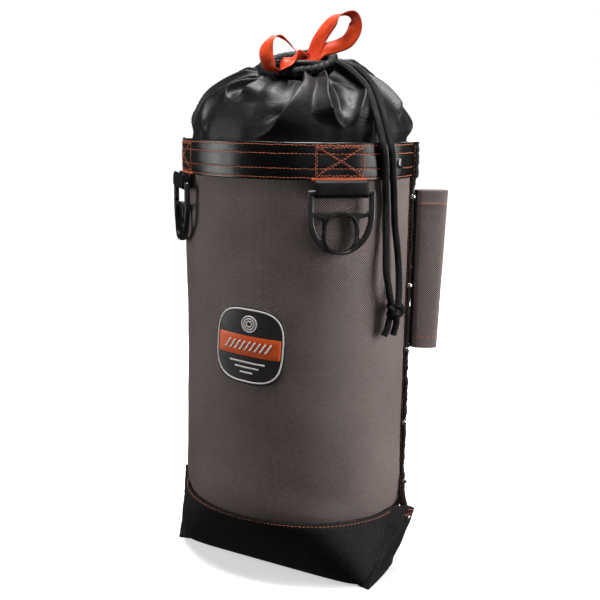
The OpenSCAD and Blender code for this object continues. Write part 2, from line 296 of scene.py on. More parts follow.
def grain_coat(name, base, roughness, rib, rib_depth, gloss):
    """Coated webbing: fine ribs both ways under a smooth, slightly uneven coat; the ribs' crowns are
    painted lighter, as a painted highlight.
    """
    shader = Shader(name)
    vector, along, across = shader.cloth()
    height = shader.checks(along, across, rib)
    uneven = shader.noise(vector, 60.0, 3.0)
    # Painted highlight on the ribs' crowns, plus random unevenness of the coat.
    tone = shader.math("ADD", shader.math("MULTIPLY", height, 0.35),
                       shader.range(uneven, 0.3, 0.7, 0.0, 0.5))
    lift = tuple(c * 2.2 + 0.003 for c in base)
    shader.set(Base_Color=shader.blend(tone, colour(*base), colour(*lift)),
               Roughness=shader.range(uneven, 0.3, 0.7, roughness * 0.85, roughness * 1.2),
               Specular_IOR_Level=gloss)
    first = shader.bump(height, rib_depth, 0.8)
    shader.bump(uneven, 0.8 * MM, 0.25, first)
    return shader.material


def nylon(name, roughness, gloss):
    """Thin shiny nylon taffeta, with fine crosswise yarns and small crinkles."""
    shader = Shader(name)
    vector = shader.cloth()[0]
    crinkle = shader.noise(shader.scaled(vector, (26, 60, 1)), 1.0, 4.0)
    streak = shader.noise(shader.scaled(vector, (110, 1900, 1)), 1.0, 2.0)
    tone = shader.math("MULTIPLY", shader.range(streak, 0.3, 0.7, 0.35, 1.0),
                       shader.range(crinkle, 0.25, 0.75, 0.6, 1.0))
    shader.set(Base_Color=shader.blend(tone, colour(0.001, 0.001, 0.0012),
                                       colour(0.007, 0.0065, 0.0075)),
               Roughness=shader.range(streak, 0.3, 0.7, roughness * 0.85, roughness * 1.2),
               Specular_IOR_Level=gloss)
    first = shader.bump(streak, 0.3 * MM, 0.8)
    shader.bump(crinkle, 1.2 * MM, 0.45, first)
    return shader.material


def braid():
    """Braided cord: its strands are in the mesh, and this paints shade into the grooves between them."""
    shader = Shader("cord_braid")
    vector, along, across = shader.cloth()
    turn = shader.math("MULTIPLY", along, 2 * math.pi * 2 / BRAID_PITCH)
    angle = shader.math("MULTIPLY", across, BRAID_STRANDS / CORD_R)
    one = shader.math("ABSOLUTE", shader.math("COSINE", shader.math("ADD", angle, turn)))
    two = shader.math("ABSOLUTE", shader.math("COSINE", shader.math("SUBTRACT", angle, turn)))
    strands = shader.math("MULTIPLY", one, two)
    fibres = shader.noise(shader.scaled(vector, (4200, 900, 1)), 1.0, 2.0)
    # Painted shade: the colour darkens where the strands dip into the grooves, times random fibre tone.
    tone = shader.math("MULTIPLY", shader.range(strands, 0.1, 0.8), shader.range(fibres, 0.2, 0.8))
    shader.set(Base_Color=shader.blend(tone, colour(0.001, 0.001, 0.0012),
                                       colour(0.016, 0.016, 0.017)),
               Roughness=0.45, Specular_IOR_Level=0.2)
    first = shader.bump(strands, 0.9 * MM, 0.8)
    shader.bump(fibres, 0.2 * MM, 0.5, first)
    return shader.material


def satin():
    """Satin ribbon with fine crosswise ribs."""
    shader = Shader("ribbon_satin")
    vector, along, across = shader.cloth()
    ribs = shader.wave(along, 0.8 * MM)
    streak = shader.noise(shader.scaled(vector, (160, 1500, 1)), 1.0, 3.0)
    edge = shader.range(shader.math("ABSOLUTE", across), 6.0 * MM, 6.8 * MM)
    body = shader.blend(streak, colour(0.46, 0.024, 0.003), colour(0.72, 0.070, 0.010))
    shader.set(Base_Color=shader.blend(edge, body, colour(0.42, 0.020, 0.005)),
               Roughness=shader.range(streak, 0.3, 0.7, 0.36, 0.46),
               Sheen_Weight=0.03, Specular_IOR_Level=0.28)
    first = shader.bump(ribs, 0.05 * MM, 0.5)
    shader.bump(streak, 0.15 * MM, 0.4, first)
    return shader.material


def moulded(name, base, roughness, grain=0.35, gloss=0.5):
    """Moulded plastic or rubber with a fine spark-eroded grain and faint flow marks."""
    shader = Shader(name)
    place = shader.place()
    fine = shader.noise(place, 2600.0, 2.0)
    broad = shader.noise(place, 90.0, 3.0)
    lift = tuple(min(1.0, c * 1.25 + 0.0015) for c in base)
    shader.set(Base_Color=shader.blend(broad, colour(*base), colour(*lift)),
               Roughness=shader.range(broad, 0.3, 0.7, roughness * 0.85, roughness * 1.15),
               Specular_IOR_Level=gloss)
    shader.bump(fine, 0.06 * MM, grain)
    return shader.material


def thread(name, dark, light):
    """Twisted thread; each stitch is its own mesh, and this adds twist and fuzz."""
    shader = Shader(name)
    place = shader.place()
    fine = shader.noise(place, 1500.0, 2.0)
    broad = shader.noise(place, 120.0, 2.0)
    tone = shader.math("MULTIPLY_ADD", fine, 0.6, shader.math("MULTIPLY", broad, 0.4))
    shader.set(Base_Color=shader.blend(tone, colour(*dark), colour(*light)),
               Roughness=0.55, Sheen_Weight=0.2)
    shader.bump(fine, 0.15 * MM, 0.6)
    return shader.material


def plated(name, base, roughness):
    """Plated rivet metal with fine scratches and dull patches."""
    shader = Shader(name)
    place = shader.place()
    scratch = shader.noise(shader.scaled(place, (900, 900, 120)), 1.0, 3.0)
    dull = shader.noise(place, 420.0, 2.0)
    darker = tuple(c * 0.7 for c in base)
    shader.set(Base_Color=shader.blend(dull, colour(*darker), colour(*base)), Metallic=1.0,
               Roughness=shader.range(scratch, 0.3, 0.7, roughness * 0.7, roughness * 1.4))
    shader.bump(scratch, 0.05 * MM, 0.4)
    return shader.material


def floor_paint():
    """White paint that glows away from the bag, so that the floor runs out into the background."""
    shader = Shader("floor_paint")
    place = shader.place()
    uneven = shader.noise(place, 3.0, 2.0)
    distance = shader.tree.nodes.new("ShaderNodeVectorMath")
    distance.operation = "LENGTH"
    shader.link(place, distance.inputs[0])
    shader.set(Base_Color=shader.blend(uneven, colour(0.86, 0.86, 0.86), colour(0.88, 0.88, 0.88)),
               Roughness=0.8, Specular_IOR_Level=0.1, Emission_Color=colour(1, 1, 1),
               Emission_Strength=shader.range(distance.outputs["Value"], 0.55, 1.5, 0.5, 1.02))
    return shader.material


BODY_CLOTH = woven("body_cloth_ballistic", (0.012, 0.009, 0.008), (0.43, 0.34, 0.318),
                   2.3 * MM, 0.5 * MM, 0.5, 0.03, 0.12, 0.35)
BASE_CLOTH = woven("base_cloth_coarse", (0.0008, 0.0007, 0.0007), (0.046, 0.040, 0.042),
                   2.1 * MM, 0.5 * MM, 0.45, 0.0, 0.4, 0.12)
BINDING_CLOTH = woven("binding_grosgrain", (0.001, 0.0008, 0.0008), (0.016, 0.012, 0.011),
                      1.8 * MM, 0.5 * MM, 0.5, 0.0, 0.5, 0.25)
BAND_COAT = grain_coat("band_coated_webbing", (0.0008, 0.0008, 0.001), 0.22, 1.6 * MM, 0.11 * MM,
                       0.5)
LOOP_WEBBING = grain_coat("loop_webbing", (0.0008, 0.0008, 0.001), 0.34, 1.6 * MM, 0.22 * MM, 0.22)
NYLON = nylon("skirt_nylon_taffeta", 0.44, 0.24)
HEM_NYLON = nylon("hem_nylon_dull", 0.55, 0.2)
CORD_BRAID = braid()
RIBBON = satin()
RING_PLASTIC = moulded("ring_moulded", (0.003, 0.003, 0.0032), 0.34, 0.25, 0.75)
HIDDEN_SHEET = moulded("stiffener_sheet", (0.03, 0.03, 0.03), 0.6)
LABEL_RUBBER = moulded("label_rubber_dark", (0.022, 0.019, 0.020), 0.5)
LABEL_PALE = moulded("label_rubber_pale", (0.74, 0.70, 0.68), 0.5)
LABEL_ORANGE = moulded("label_rubber_orange", (0.84, 0.115, 0.02), 0.45)
THREAD = thread("thread_orange", (0.36, 0.050, 0.014), (0.80, 0.20, 0.06))
DULL_THREAD = thread("thread_worn_orange", (0.30, 0.085, 0.035), (0.62, 0.24, 0.11))
BRIGHT_THREAD = thread("thread_bright_orange", (0.85, 0.09, 0.015), (1.0, 0.20, 0.04))
NICKEL = plated("rivet_nickel", (0.62, 0.59, 0.56), 0.22)
DARK_PLATE = plated("rivet_black", (0.09, 0.09, 0.10), 0.22)


# Mesh builders

def make(name, points, faces, material, body, cloth=None):
    """A new piece on a body; cloth gives each point's distances along and across its cloth."""
    mesh = bpy.data.meshes.new(name)
    mesh.from_pydata([tuple(p) for p in points], [], faces)
    mesh.polygons.foreach_set("use_smooth", [True] * len(mesh.polygons))
    if cloth:
        layer = mesh.attributes.new("cloth", "FLOAT_VECTOR", "POINT")
        layer.data.foreach_set("vector", [c for pair in cloth for c in (pair[0], pair[1], 0.0)])
    mesh.materials.append(material)
    mesh.update()
    piece = bpy.data.objects.new(name, mesh)
    bpy.context.scene.collection.objects.link(piece)
    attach(piece, body)
    return piece


def grid(name, rows, material, body, cloth=None, closed=False, flip=False):
    """A piece from rows of points; closed joins each row's end to its start."""
    count = len(rows[0])
    faces = []
    for j in range(len(rows) - 1):
        for i in range(count if closed else count - 1):
            k = (i + 1) % count
            face = (j * count + i, j * count + k, (j + 1) * count + k, (j + 1) * count + i)
            faces.append(face[::-1] if flip else face)
    points = [p for row in rows for p in row]
    flat = [c for row in cloth for c in row] if cloth else None
    return make(name, points, faces, material, body, flat)


def ring_faces(first, rings, count, joined=False, flip=False):
    """Faces between rings of points; joined also joins the last ring to the first."""
    faces = []
    for j in range(rings if joined else rings - 1):
        a = first + j * count
        b = first + (j + 1) % rings * count
        for k in range(count):
            h = (k + 1) % count
            faces.append((a + k, b + k, b + h, a + h) if flip else (a + k, a + h, b + h, b + k))
    return faces


def superellipse(half_w, half_h, count=96, n=3.2, middle=0.0):
    """A rounded box's outline; n sets how square it is, and middle its height."""
    outline = []
    for k in range(count):
        a = 2 * math.pi * k / count
        c, s = math.cos(a), math.sin(a)
        outline.append((math.copysign(abs(c) ** (2 / n), c) * half_w,
                        middle + math.copysign(abs(s) ** (2 / n), s) * half_h))
    return outline


def thicken(piece, thickness, offset=-1):
    modifier = piece.modifiers.new("thickness", "SOLIDIFY")
    modifier.thickness = thickness
    modifier.offset = offset
    modifier.use_even_offset = False
    return piece


TUBE_UP = Vector((0.35, -0.94, 0.02))


def tube(name, path, radius, sides, material, body, shape, closed=False):
    """A tube along a path; shape(along, angle) gives a factor on its radius."""
    total = lengths(path)
    rows, cloth = [], []
    count = len(path)
    side = None
    for i, p in enumerate(path):
        if closed:
            ahead = (path[(i + 1) % count] - path[i - 1]).normalized()
        else:
            ahead = (path[min(i + 1, count - 1)] - path[max(i - 1, 0)]).normalized()
        if side is None:
            side = TUBE_UP.cross(ahead).normalized()
        side = (side - ahead * side.dot(ahead)).normalized()
        other = ahead.cross(side)
        row = []
        for k in range(sides + 1):
            a = 2 * math.pi * k / sides
            out = side * math.cos(a) + other * math.sin(a)
            row.append(p + out * radius * shape(total[i], a))
        rows.append(row)
        cloth.append([(total[i], radius * 2 * math.pi * k / sides) for k in range(sides + 1)])
    width = sides + 1
    faces = []
    for j in range(count if closed else count - 1):
        for i in range(sides):
            n = (j + 1) % count
            faces.append((j * width + i, j * width + i + 1, n * width + i + 1, n * width + i))
    if not closed:
        faces.append(tuple(range(sides - 1, -1, -1)))
        faces.append(tuple((count - 1) * width + k for k in range(sides)))
    points = [p for row in rows for p in row]
    return make(name, points, faces, material, body, [c for row in cloth for c in row])


STITCH_RINGS = [(-0.5, 0.35), (-0.4, 0.85), (0.0, 1.0), (0.4, 0.85), (0.5, 0.35)]
STITCH_SIDES = 6


def sew(name, spots, material, body, radius):
    """Stitches as short rounded threads; a spot is its middle, direction, normal and length."""
    points, faces = [], []
    for middle, ahead, normal, length in spots:
        side = ahead.cross(normal).normalized()
        first = len(points)
        for f, r in STITCH_RINGS:
            sink = -abs(f) ** 3 * 4.0 * radius
            for k in range(STITCH_SIDES):
                a = 2 * math.pi * k / STITCH_SIDES
                points.append(middle + ahead * length * f + side * math.cos(a) * radius * r
                              + normal * (math.sin(a) * radius * r * 0.8 + sink))
        faces += ring_faces(first, len(STITCH_RINGS), STITCH_SIDES, flip=True)
        last = first + (len(STITCH_RINGS) - 1) * STITCH_SIDES
        faces.append(tuple(first + k for k in range(STITCH_SIDES)))
        faces.append(tuple(last + k for k in range(STITCH_SIDES - 1, -1, -1)))
    return make(name, points, faces, material, body)


def spots_along(points, normals, pitch, fill, wander=0.12 * MM, seed=1):
    """Stitch spots at even distances along a path with normals."""
    total = lengths(points)
    number = max(1, round(total[-1] / pitch))
    step = total[-1] / number
    pick = random.Random(seed)
    spots = []
    for i in range(number):
        want = (i + 0.5) * step
        k = min(max(bisect.bisect_right(total, want) - 1, 0), len(points) - 2)
        f = (want - total[k]) / max(total[k + 1] - total[k], 1e-9)
        ahead = (points[k + 1] - points[k]).normalized()
        normal = normals[k].lerp(normals[k + 1], f).normalized()
        middle = points[k].lerp(points[k + 1], f) + ahead.cross(normal) * pick.gauss(0, wander)
        spots.append((middle, ahead, normal, step * fill * pick.uniform(0.94, 1.05)))
    return spots


# The cords come first: their routes are the ones that the frame holds

TAIL_R = 2.9 * MM
FRONT_STRAND = [(43, -1, 514), (52, -6, 511), (64, -13, 506), (78, -19, 497), (88, -24, 489),
                (95, -29, 480), (101, -34, 471), (107, -39, 460), (112, -42, 448),
                (116, -44, 437), (117, -42, 424), (117, -40, 410), (117, -38, 396),
                (117, -36, 382), (117, -36, 363), (118, -36, 344), (119, -37, 328),
                (120, -37, 316), (122, -36, 305), (123, -35, 296), (124, -33, 288)]
REAR_STRAND = [(42, 12, 514), (52, 9, 511), (64, 2, 508), (77, -4, 500), (88, -10, 491),
               (98, -19, 481), (105, -26, 471), (111, -31, 460), (116, -34, 448),
               (120, -36, 437), (121, -34, 424), (121, -32, 410), (121, -29, 396),
               (121, -27, 381), (121, -24, 362), (123, -22, 343), (124, -20, 327),
               (125, -20, 314), (126, -21, 303), (127, -23, 295), (128, -26, 288)]
KNOT = Vector((126, -29, 281)) * MM
TAILS = [[(123, -33, 274), (122, -34, 268), (121, -35, 262), (119, -36, 257)],
         [(127, -27, 274), (127, -27, 268), (126, -28, 262), (125, -29, 257)]]


def braid_shape(along, angle):
    """The strands of a round braid, which wind both ways and cross over each other."""
    turn = 2 * math.pi * along / BRAID_PITCH
    one = math.cos(BRAID_STRANDS * angle + turn * 2)
    two = math.cos(BRAID_STRANDS * angle - turn * 2)
    over = 0.5 + 0.5 * math.sin(BRAID_STRANDS * angle) * math.sin(turn * 2)
    return 0.98 + 0.14 * (abs(one) * over + abs(two) * (1 - over))


def cord_path(route):
    points = spline([Vector(p) * MM for p in route], 12)
    return spread(points, int(lengths(points)[-1] / (0.9 * MM)))


def make_drawcord():
    knot = []
    turns = 96
    for i in range(turns):
        a = 2 * math.pi * i / turns
        knot.append(KNOT + Vector((
            (math.sin(a) + 2 * math.sin(2 * a)) * 2.2,
            (math.cos(a) - 2 * math.cos(2 * a)) * 2.2,
            -math.sin(3 * a) * 4.2)) * MM)
    lean = Matrix.Rotation(math.radians(62), 4, (0.87, 0.5, 0.15))
    knot = [KNOT + lean @ (p - KNOT) for p in knot]
    knot_piece = tube("drawcord_knot_wraps", knot, 3.2 * MM, 16, CORD_BRAID, "bag", braid_shape,
                      closed=True)
    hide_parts("drawcord_knot")
    for name, route in zip(("drawcord_tail_front", "drawcord_tail_rear"), TAILS):
        path = cord_path([KNOT / MM + Vector((0, 0, -2))] + route)
        piece = tube(name, path, TAIL_R, 20, CORD_BRAID, "bag", braid_shape)
    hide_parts("drawcord_tails")
    for name, route in (("drawcord_front_strand", FRONT_STRAND),
                        ("drawcord_rear_strand", REAR_STRAND)):
        path = cord_path(route)
        piece = tube(name + "_braid", path, CORD_R, 24, CORD_BRAID, "bag", braid_shape)
        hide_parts(name)


make_drawcord()


# The bag's wall

def wall_half(z):
    s = (z - SEAM_Z) / (BAND_Z - SEAM_Z)
    return WALL_W - SLIMMER_W * (1 - s), WALL_D - SLIMMER_D * (1 - s)


def wall_normal(t):
    r = math.radians(t)
    return Vector((math.sin(r) / WALL_W, -math.cos(r) / WALL_D, 0)).normalized()


def wall(t, z, out=0.0):
    a, b = wall_half(z)
    r = math.radians(t)
    return Vector((a * math.sin(r), -b * math.cos(r), z)) + wall_normal(t) * out


ARC_STEP = 1.0
ARC = [0.0]
for degree in range(int(360 / ARC_STEP)):
    ARC.append(ARC[-1] + (wall((degree + 1) * ARC_STEP, BAND_Z)
                          - wall(degree * ARC_STEP, BAND_Z)).length)


def arc(t):
    """The distance along the wall from the front to angle t."""
    turns, rest = divmod(t, 360)
    k = int(rest / ARC_STEP)
    f = rest / ARC_STEP - k
    return turns * ARC[-1] + mix(ARC[k], ARC[k + 1], f) if f else turns * ARC[-1] + ARC[k]


def angle_at(distance):
    """The wall's angle at a distance from the front."""
    turns, rest = divmod(distance, ARC[-1])
    k = min(bisect.bisect_right(ARC, rest) - 1, len(ARC) - 2)
    return turns * 360 + (k + (rest - ARC[k]) / (ARC[k + 1] - ARC[k])) * ARC_STEP


def sag(t, z):
    """How far the soft cloth stands out of the plain wall."""
    r = math.radians(t)
    place = Vector((math.sin(r), -math.cos(r), z * 6))
    broad = 1.5 * MM * ripple(place, 0.75, 3.0)
    fine = 0.5 * MM * ripple(Vector((place.x, place.y, z * 9)), 0.28, 7.0)
    held = ease((BAND_Z + 4 * MM - z) / (30 * MM)) * ease((z - SEAM_Z) / (18 * MM))
    sides = ease(min(abs(t - seam) for seam in (RIGHT_SEAM, -LEFT_SEAM, 360 - LEFT_SEAM)) / 8)
    tuck = -2.4 * MM * math.exp(-(z - SEAM_Z) / (5 * MM))
    swell = 1.0 * MM * bump(z, SEAM_Z + 22 * MM, 16 * MM)
    low_dent = -2.2 * MM * bump(z, 0.093, 0.016) * bump(t, 46, 16)
    left_dent = -1.6 * MM * bump(z, 0.215, 0.05) * bump(t, -50, 12)
    return (broad + fine + low_dent + left_dent) * held * sides + tuck + swell


def body_panel(name, start, end):
    rows, cloth = [], []
    levels = [mix(SEAM_Z - 1.5 * MM, BAND_Z + 8 * MM, j / 110) for j in range(111)]
    angles = [mix(start, end, i / 120) for i in range(121)]
    for z in levels:
        rows.append([wall(t, z, sag(t, max(z, SEAM_Z))) for t in angles])
        cloth.append([(arc(t), z) for t in angles])
    piece = thicken(grid(name + "_cloth", rows, BODY_CLOTH, "bag", cloth), CLOTH_T)
    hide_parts(name)


body_panel("front_panel", -LEFT_SEAM, RIGHT_SEAM)
body_panel("back_panel", RIGHT_SEAM, 360 - LEFT_SEAM)


# The base

BASE_HALF_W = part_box("base_shell")[1].x - 2 * MM
BASE_HALF_D = 52 * MM
BASE_FRONT_N = 9
BASE_BACK_N = 2.3
BASE_STITCH_Z = 68.2


def oval(t, a, b, n=2.0):
    s, c = math.sin(math.radians(t)), math.cos(math.radians(t))
    return Vector((math.copysign(abs(s) ** (2 / n) * a, s), -math.copysign(abs(c) ** (2 / n) * b, c),
                   0))


def base_shape(z, power=BASE_FRONT_N):
    """The base's half width, half depth and squareness at a height."""
    s = clamp(z / SEAM_Z)
    low_w, low_d = wall_half(SEAM_Z)
    return (mix(BASE_HALF_W, low_w, s ** 0.8), mix(BASE_HALF_D, low_d, s ** 0.8),
            mix(power, 2.0, s ** 0.35))


def base_ring(z, count, out=0.0):
    """A level of the base, from the back round by the left side, the front and the right side."""
    ring = []
    for middle, power in ((-180, BASE_BACK_N), (0, BASE_FRONT_N)):
        a, b, n = base_shape(z, power)
        a, b = a + out, b + out
        dense = [oval(middle + d, a, b, n) for d in range(-90, 91)]
        part = spread(dense, count // 2 + 1)
        ring += part[:-1]
    return [Vector((p.x, p.y, z)) for p in ring]


def base_sag(p, z):
    broad = 1.3 * MM * ripple((p.x, p.y, z), 0.055, 11.0)
    fine = 0.5 * MM * ripple((p.x, p.y, z), 0.02, 4.0)
    return (broad + fine) * ease(z / (14 * MM)) * ease((SEAM_Z - z) / (14 * MM))


def make_base():
    count = 320
    levels = [0.0, 0.4, 1.4, 3] + [5 + 2.5 * k for k in range(24)] + [
        65, 67, BASE_STITCH_Z, 69.4, 70.6, 71.2]
    rows, cloth = [], []
    for z_mm in levels:
        z = z_mm * MM
        tuck = 3.0 * MM * (1 - ease(z_mm / 3.2)) ** 2
        lip = (1.2 * MM * ease((z_mm - 55) / 12) - 0.5 * MM * bump(z_mm, BASE_STITCH_Z, 1.0)
               - 1.2 * MM * ease((z_mm - 70) / 1.2))
        ring = base_ring(z, count, lip - tuck)
        row = []
        for i, p in enumerate(ring):
            side = ring[(i + 1) % count] - ring[i - 1]
            outward = Vector((side.y, -side.x, 0)).normalized()
            row.append(p + outward * base_sag(p, z))
        rows.append(row + [row[0].copy()])
        total = lengths(rows[-1])
        middle = total[count // 2]
        cloth.append([(s - middle, z) for s in total])
    edge = rows[0]
    for f in (0.97, 0.9, 0.75, 0.5, 0.25, 0.02):
        rows.insert(0, [Vector((p.x * f, p.y * f, 0)) for p in edge])
        cloth.insert(0, [(p.x * f, p.y * f) for p in edge])
    piece = thicken(grid("base_shell_cloth", rows, BASE_CLOTH, "bag", cloth), 2.0 * MM)
    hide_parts("base_shell")
    points, normals = [], []
    ring = base_ring(BASE_STITCH_Z * MM, count, 1.3 * MM)
    for i, p in enumerate(ring + ring[:1]):
        side = ring[(i + 1) % count] - ring[i % count - 1]
        points.append(p)
        normals.append(Vector((side.y, -side.x, 0)).normalized())
    piece = sew("base_seam_stitches", spots_along(points, normals, 4 * MM, 0.7), DULL_THREAD,
                "bag", 0.36 * MM)


make_base()


# The ears at the two ends of the base: each level is its height as a share of the tip's, the front
# edge's x and y, and the rear corner's x and y, for the bag's right side
RIGHT_EAR = [(0, 117.2, -50.5, 114.5, 5), (0.1, 118, -45, 114, 17), (0.21, 118.8, -39, 115, 31),
             (0.625, 127.3, -12.9, 125, 29), (0.92, 133.1, 2.9, 130.5, 24), (1, 134.5, 7, 132.5, 20)]
LEFT_EAR = [(0, 117.2, -50.5, 114.5, 5), (0.1, 119, -46, 115, 17), (0.21, 120.6, -41.5, 116, 30),
            (0.64, 132, -21, 127, 20), (0.91, 139, -9, 136, 11), (1, 141, -6, 139, 7)]
EAR_STEPS = 56


def ear_level(levels, up):
    """The ear's numbers at a share of its height."""
    for a, b in zip(levels, levels[1:]):
        if up <= b[0]:
            f = (up - a[0]) / (b[0] - a[0])
            return [mix(p, q, f) for p, q in zip(a, b)]
    return list(levels[-1])


def base_front(x, z):
    """Where the base's front face lies at a distance from the bag's middle, in millimetres."""
    a, b, n = base_shape(z * MM)
    return -b / MM * (1 - min(x * MM / a, 1.0) ** n) ** (1 / n)


def ear_row(levels, up, crease, tip_z):
    """The ear's outline at one height, from the wall in front round its edge to the wall behind."""
    fx, fy, rx, ry = ear_level(levels, up)[1:]
    z = up * tip_z
    open_up = ease(up / 0.35)
    deep = mix(0.4, 2.6, open_up) * crease
    first_x = mix(mix(104, 110, open_up), 115.8, ease((up - 0.45) / 0.45))
    first = Vector((first_x, base_front(first_x, z) + 1.5, 0))
    edge = Vector((fx - 1.6, fy - 0.6, 0))
    second_x = max(114.0, first_x + 0.6)
    second = Vector((second_x, base_front(second_x, z) + 1.0, 0))
    valley = Vector((mix(115, fx, 0.35) - deep, mix(base_front(115, z), fy, 0.55), 0))
    wall_x = 113.5
    shape = [first,
             first.lerp(edge, 0.4).lerp(second, open_up),
             first.lerp(edge, 0.8).lerp(valley, open_up),
             edge,
             Vector((fx + 0.1, fy + 0.5, 0)),
             Vector((mix(fx, rx, 0.14) + 0.2, mix(fy, ry, 0.16), 0)),
             Vector((mix(fx, rx, 0.4) + 0.5, mix(fy, ry, 0.45), 0)),
             Vector((mix(fx, rx, 0.74) + 0.3, mix(fy, ry, 0.8), 0)),
             Vector((rx - 0.4, ry - 0.8, 0)),
             Vector((rx - 3, ry + 0.3, 0)),
             Vector((mix(rx, wall_x, 0.6) - 1, ry + mix(0.3, 3, open_up), 0)),
             Vector((wall_x - 2, ry + mix(0.6, 8, open_up), 0))]
    return spread(spline(shape, 10), EAR_STEPS)


def ear_drop(levels, up, p):
    """How far the ear's top edge falls towards the back, in millimetres."""
    front, back = ear_level(levels, up)[2], ear_level(levels, up)[4]
    return 7.0 * up ** 3 * clamp((p.y - front) / (back - front))


def make_ear(side, name, levels, tip_z, crease):
    rows, cloth = [], []
    for j in range(41):
        up = j / 40
        z = up * tip_z
        row = []
        for p in ear_row(levels, up, crease, tip_z):
            soft = 0.8 * ripple((p.x * MM, p.y * MM, z * MM), 0.018, 6.0 + side)
            row.append(Vector((side * (p.x + soft * ease(z / 10) + ear_drop(levels, up, p) * 0.2),
                               p.y, z - ear_drop(levels, up, p))) * MM)
        total = lengths(row)
        rows.append(row)
        cloth.append([(run, z * MM) for run in total])
    top = rows[-1]
    middle = sum(top, Vector()) / len(top)
    for f, rise in ((0.85, 0.7), (0.5, 0.9), (0.1, 0.9)):
        rows.append([middle.lerp(p, f) + Vector((0, 0, rise * MM)) for p in top])
        cloth.append(cloth[-1])
    piece = grid(name + "_cloth", rows, BASE_CLOTH, "bag", cloth, flip=side < 0)
    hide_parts(name)
    spots = []
    for drop in (3.2, 8.0):
        up = 1 - drop / tip_z
        row = ear_row(levels, up, crease, tip_z)
        fx, fy, rx = ear_level(levels, up)[1:4]
        path = []
        for p in row:
            if p.x > min(fx, rx) - 1 and p.y > fy - 1:
                soft = 0.8 * ripple((p.x * MM, p.y * MM, up * tip_z * MM), 0.018, 6.0 + side)
                down = ear_drop(levels, up, p)
                path.append(Vector((side * (p.x + soft + 0.3 + down * 0.2), p.y - 0.25,
                                    up * tip_z - down)) * MM)
        spots += spots_along(path, [Vector((side * 0.9, -0.35, 0.1))] * len(path), 3.2 * MM, 0.8)
    sew(name + "_stitches", spots, THREAD, "bag", 0.36 * MM)


make_ear(1, "right_base_ear", RIGHT_EAR, RIGHT_TIP, 1.0)
make_ear(-1, "left_base_ear", LEFT_EAR, LEFT_TIP, 0.25)


# The band round the mouth

STITCH_ROWS = [BAND_TOP - d * MM for d in (2.3, 10.2, 23.6, 31.9)]


def band_out(t, z):
    """How far the band's face stands out of the wall: it dips at each row of stitches."""
    dip = sum(bump(z, row, 1.1 * MM) for row in STITCH_ROWS)
    puff = 0.35 * MM * bump(z, BAND_Z + 17 * MM, 9 * MM)
    place = Vector((math.sin(math.radians(t)), math.cos(math.radians(t)), z * 5))
    wavy = 0.55 * MM * ripple(place, 0.33, 2.0) + 0.22 * MM * ripple(place, 0.12, 9.0)
    return BAND_OUT + 0.2 * MM + puff - 0.38 * MM * dip + wavy


def make_band():
    rows, cloth = [], []
    angles = [1.25 * i for i in range(289)]
    profile = [(BAND_Z + 1 * MM, -1.6), (BAND_Z - 0.1 * MM, -1.2), (BAND_Z, -0.4)]
    profile += [(mix(BAND_Z + 0.6 * MM, BAND_TOP - 0.9 * MM, k / 44), 0) for k in range(45)]
    profile += [(BAND_TOP - 0.2 * MM, -0.6), (BAND_TOP + 0.3 * MM, -1.6), (BAND_TOP, -3.4),
                (BAND_TOP - 2 * MM, -5.0), (BAND_TOP - 9 * MM, -5.4)]
    run = 0.0
    last = profile[0]
    for z, drop in profile:
        run += math.hypot(z - last[0], (drop - last[1]) * MM)
        last = (z, drop)
        rows.append([wall(t, z, band_out(t, z) + drop * MM) for t in angles])
        cloth.append([(arc(t), run) for t in angles])
    piece = grid("top_band_webbing", rows, BAND_COAT, "bag", cloth)
    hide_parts("top_band")


def wall_path(t0, t1, z0, z1, count, out=0.0):
    """Points and normals on the band's face from one place to another."""
    points, normals = [], []
    for i in range(count + 1):
        f = i / count
        t, z = mix(t0, t1, f), mix(z0, z1, f)
        points.append(wall(t, z, band_out(t, z) + out))
        normals.append(wall_normal(t))
    return points, normals


BOX_HALF = 22.5 * MM
TACK_HALF = 25.5 * MM
TACK_STEPS = 64
BOX_LOW = BAND_Z + 3 * MM
BOX_HIGH = BAND_TOP - 3.2 * MM


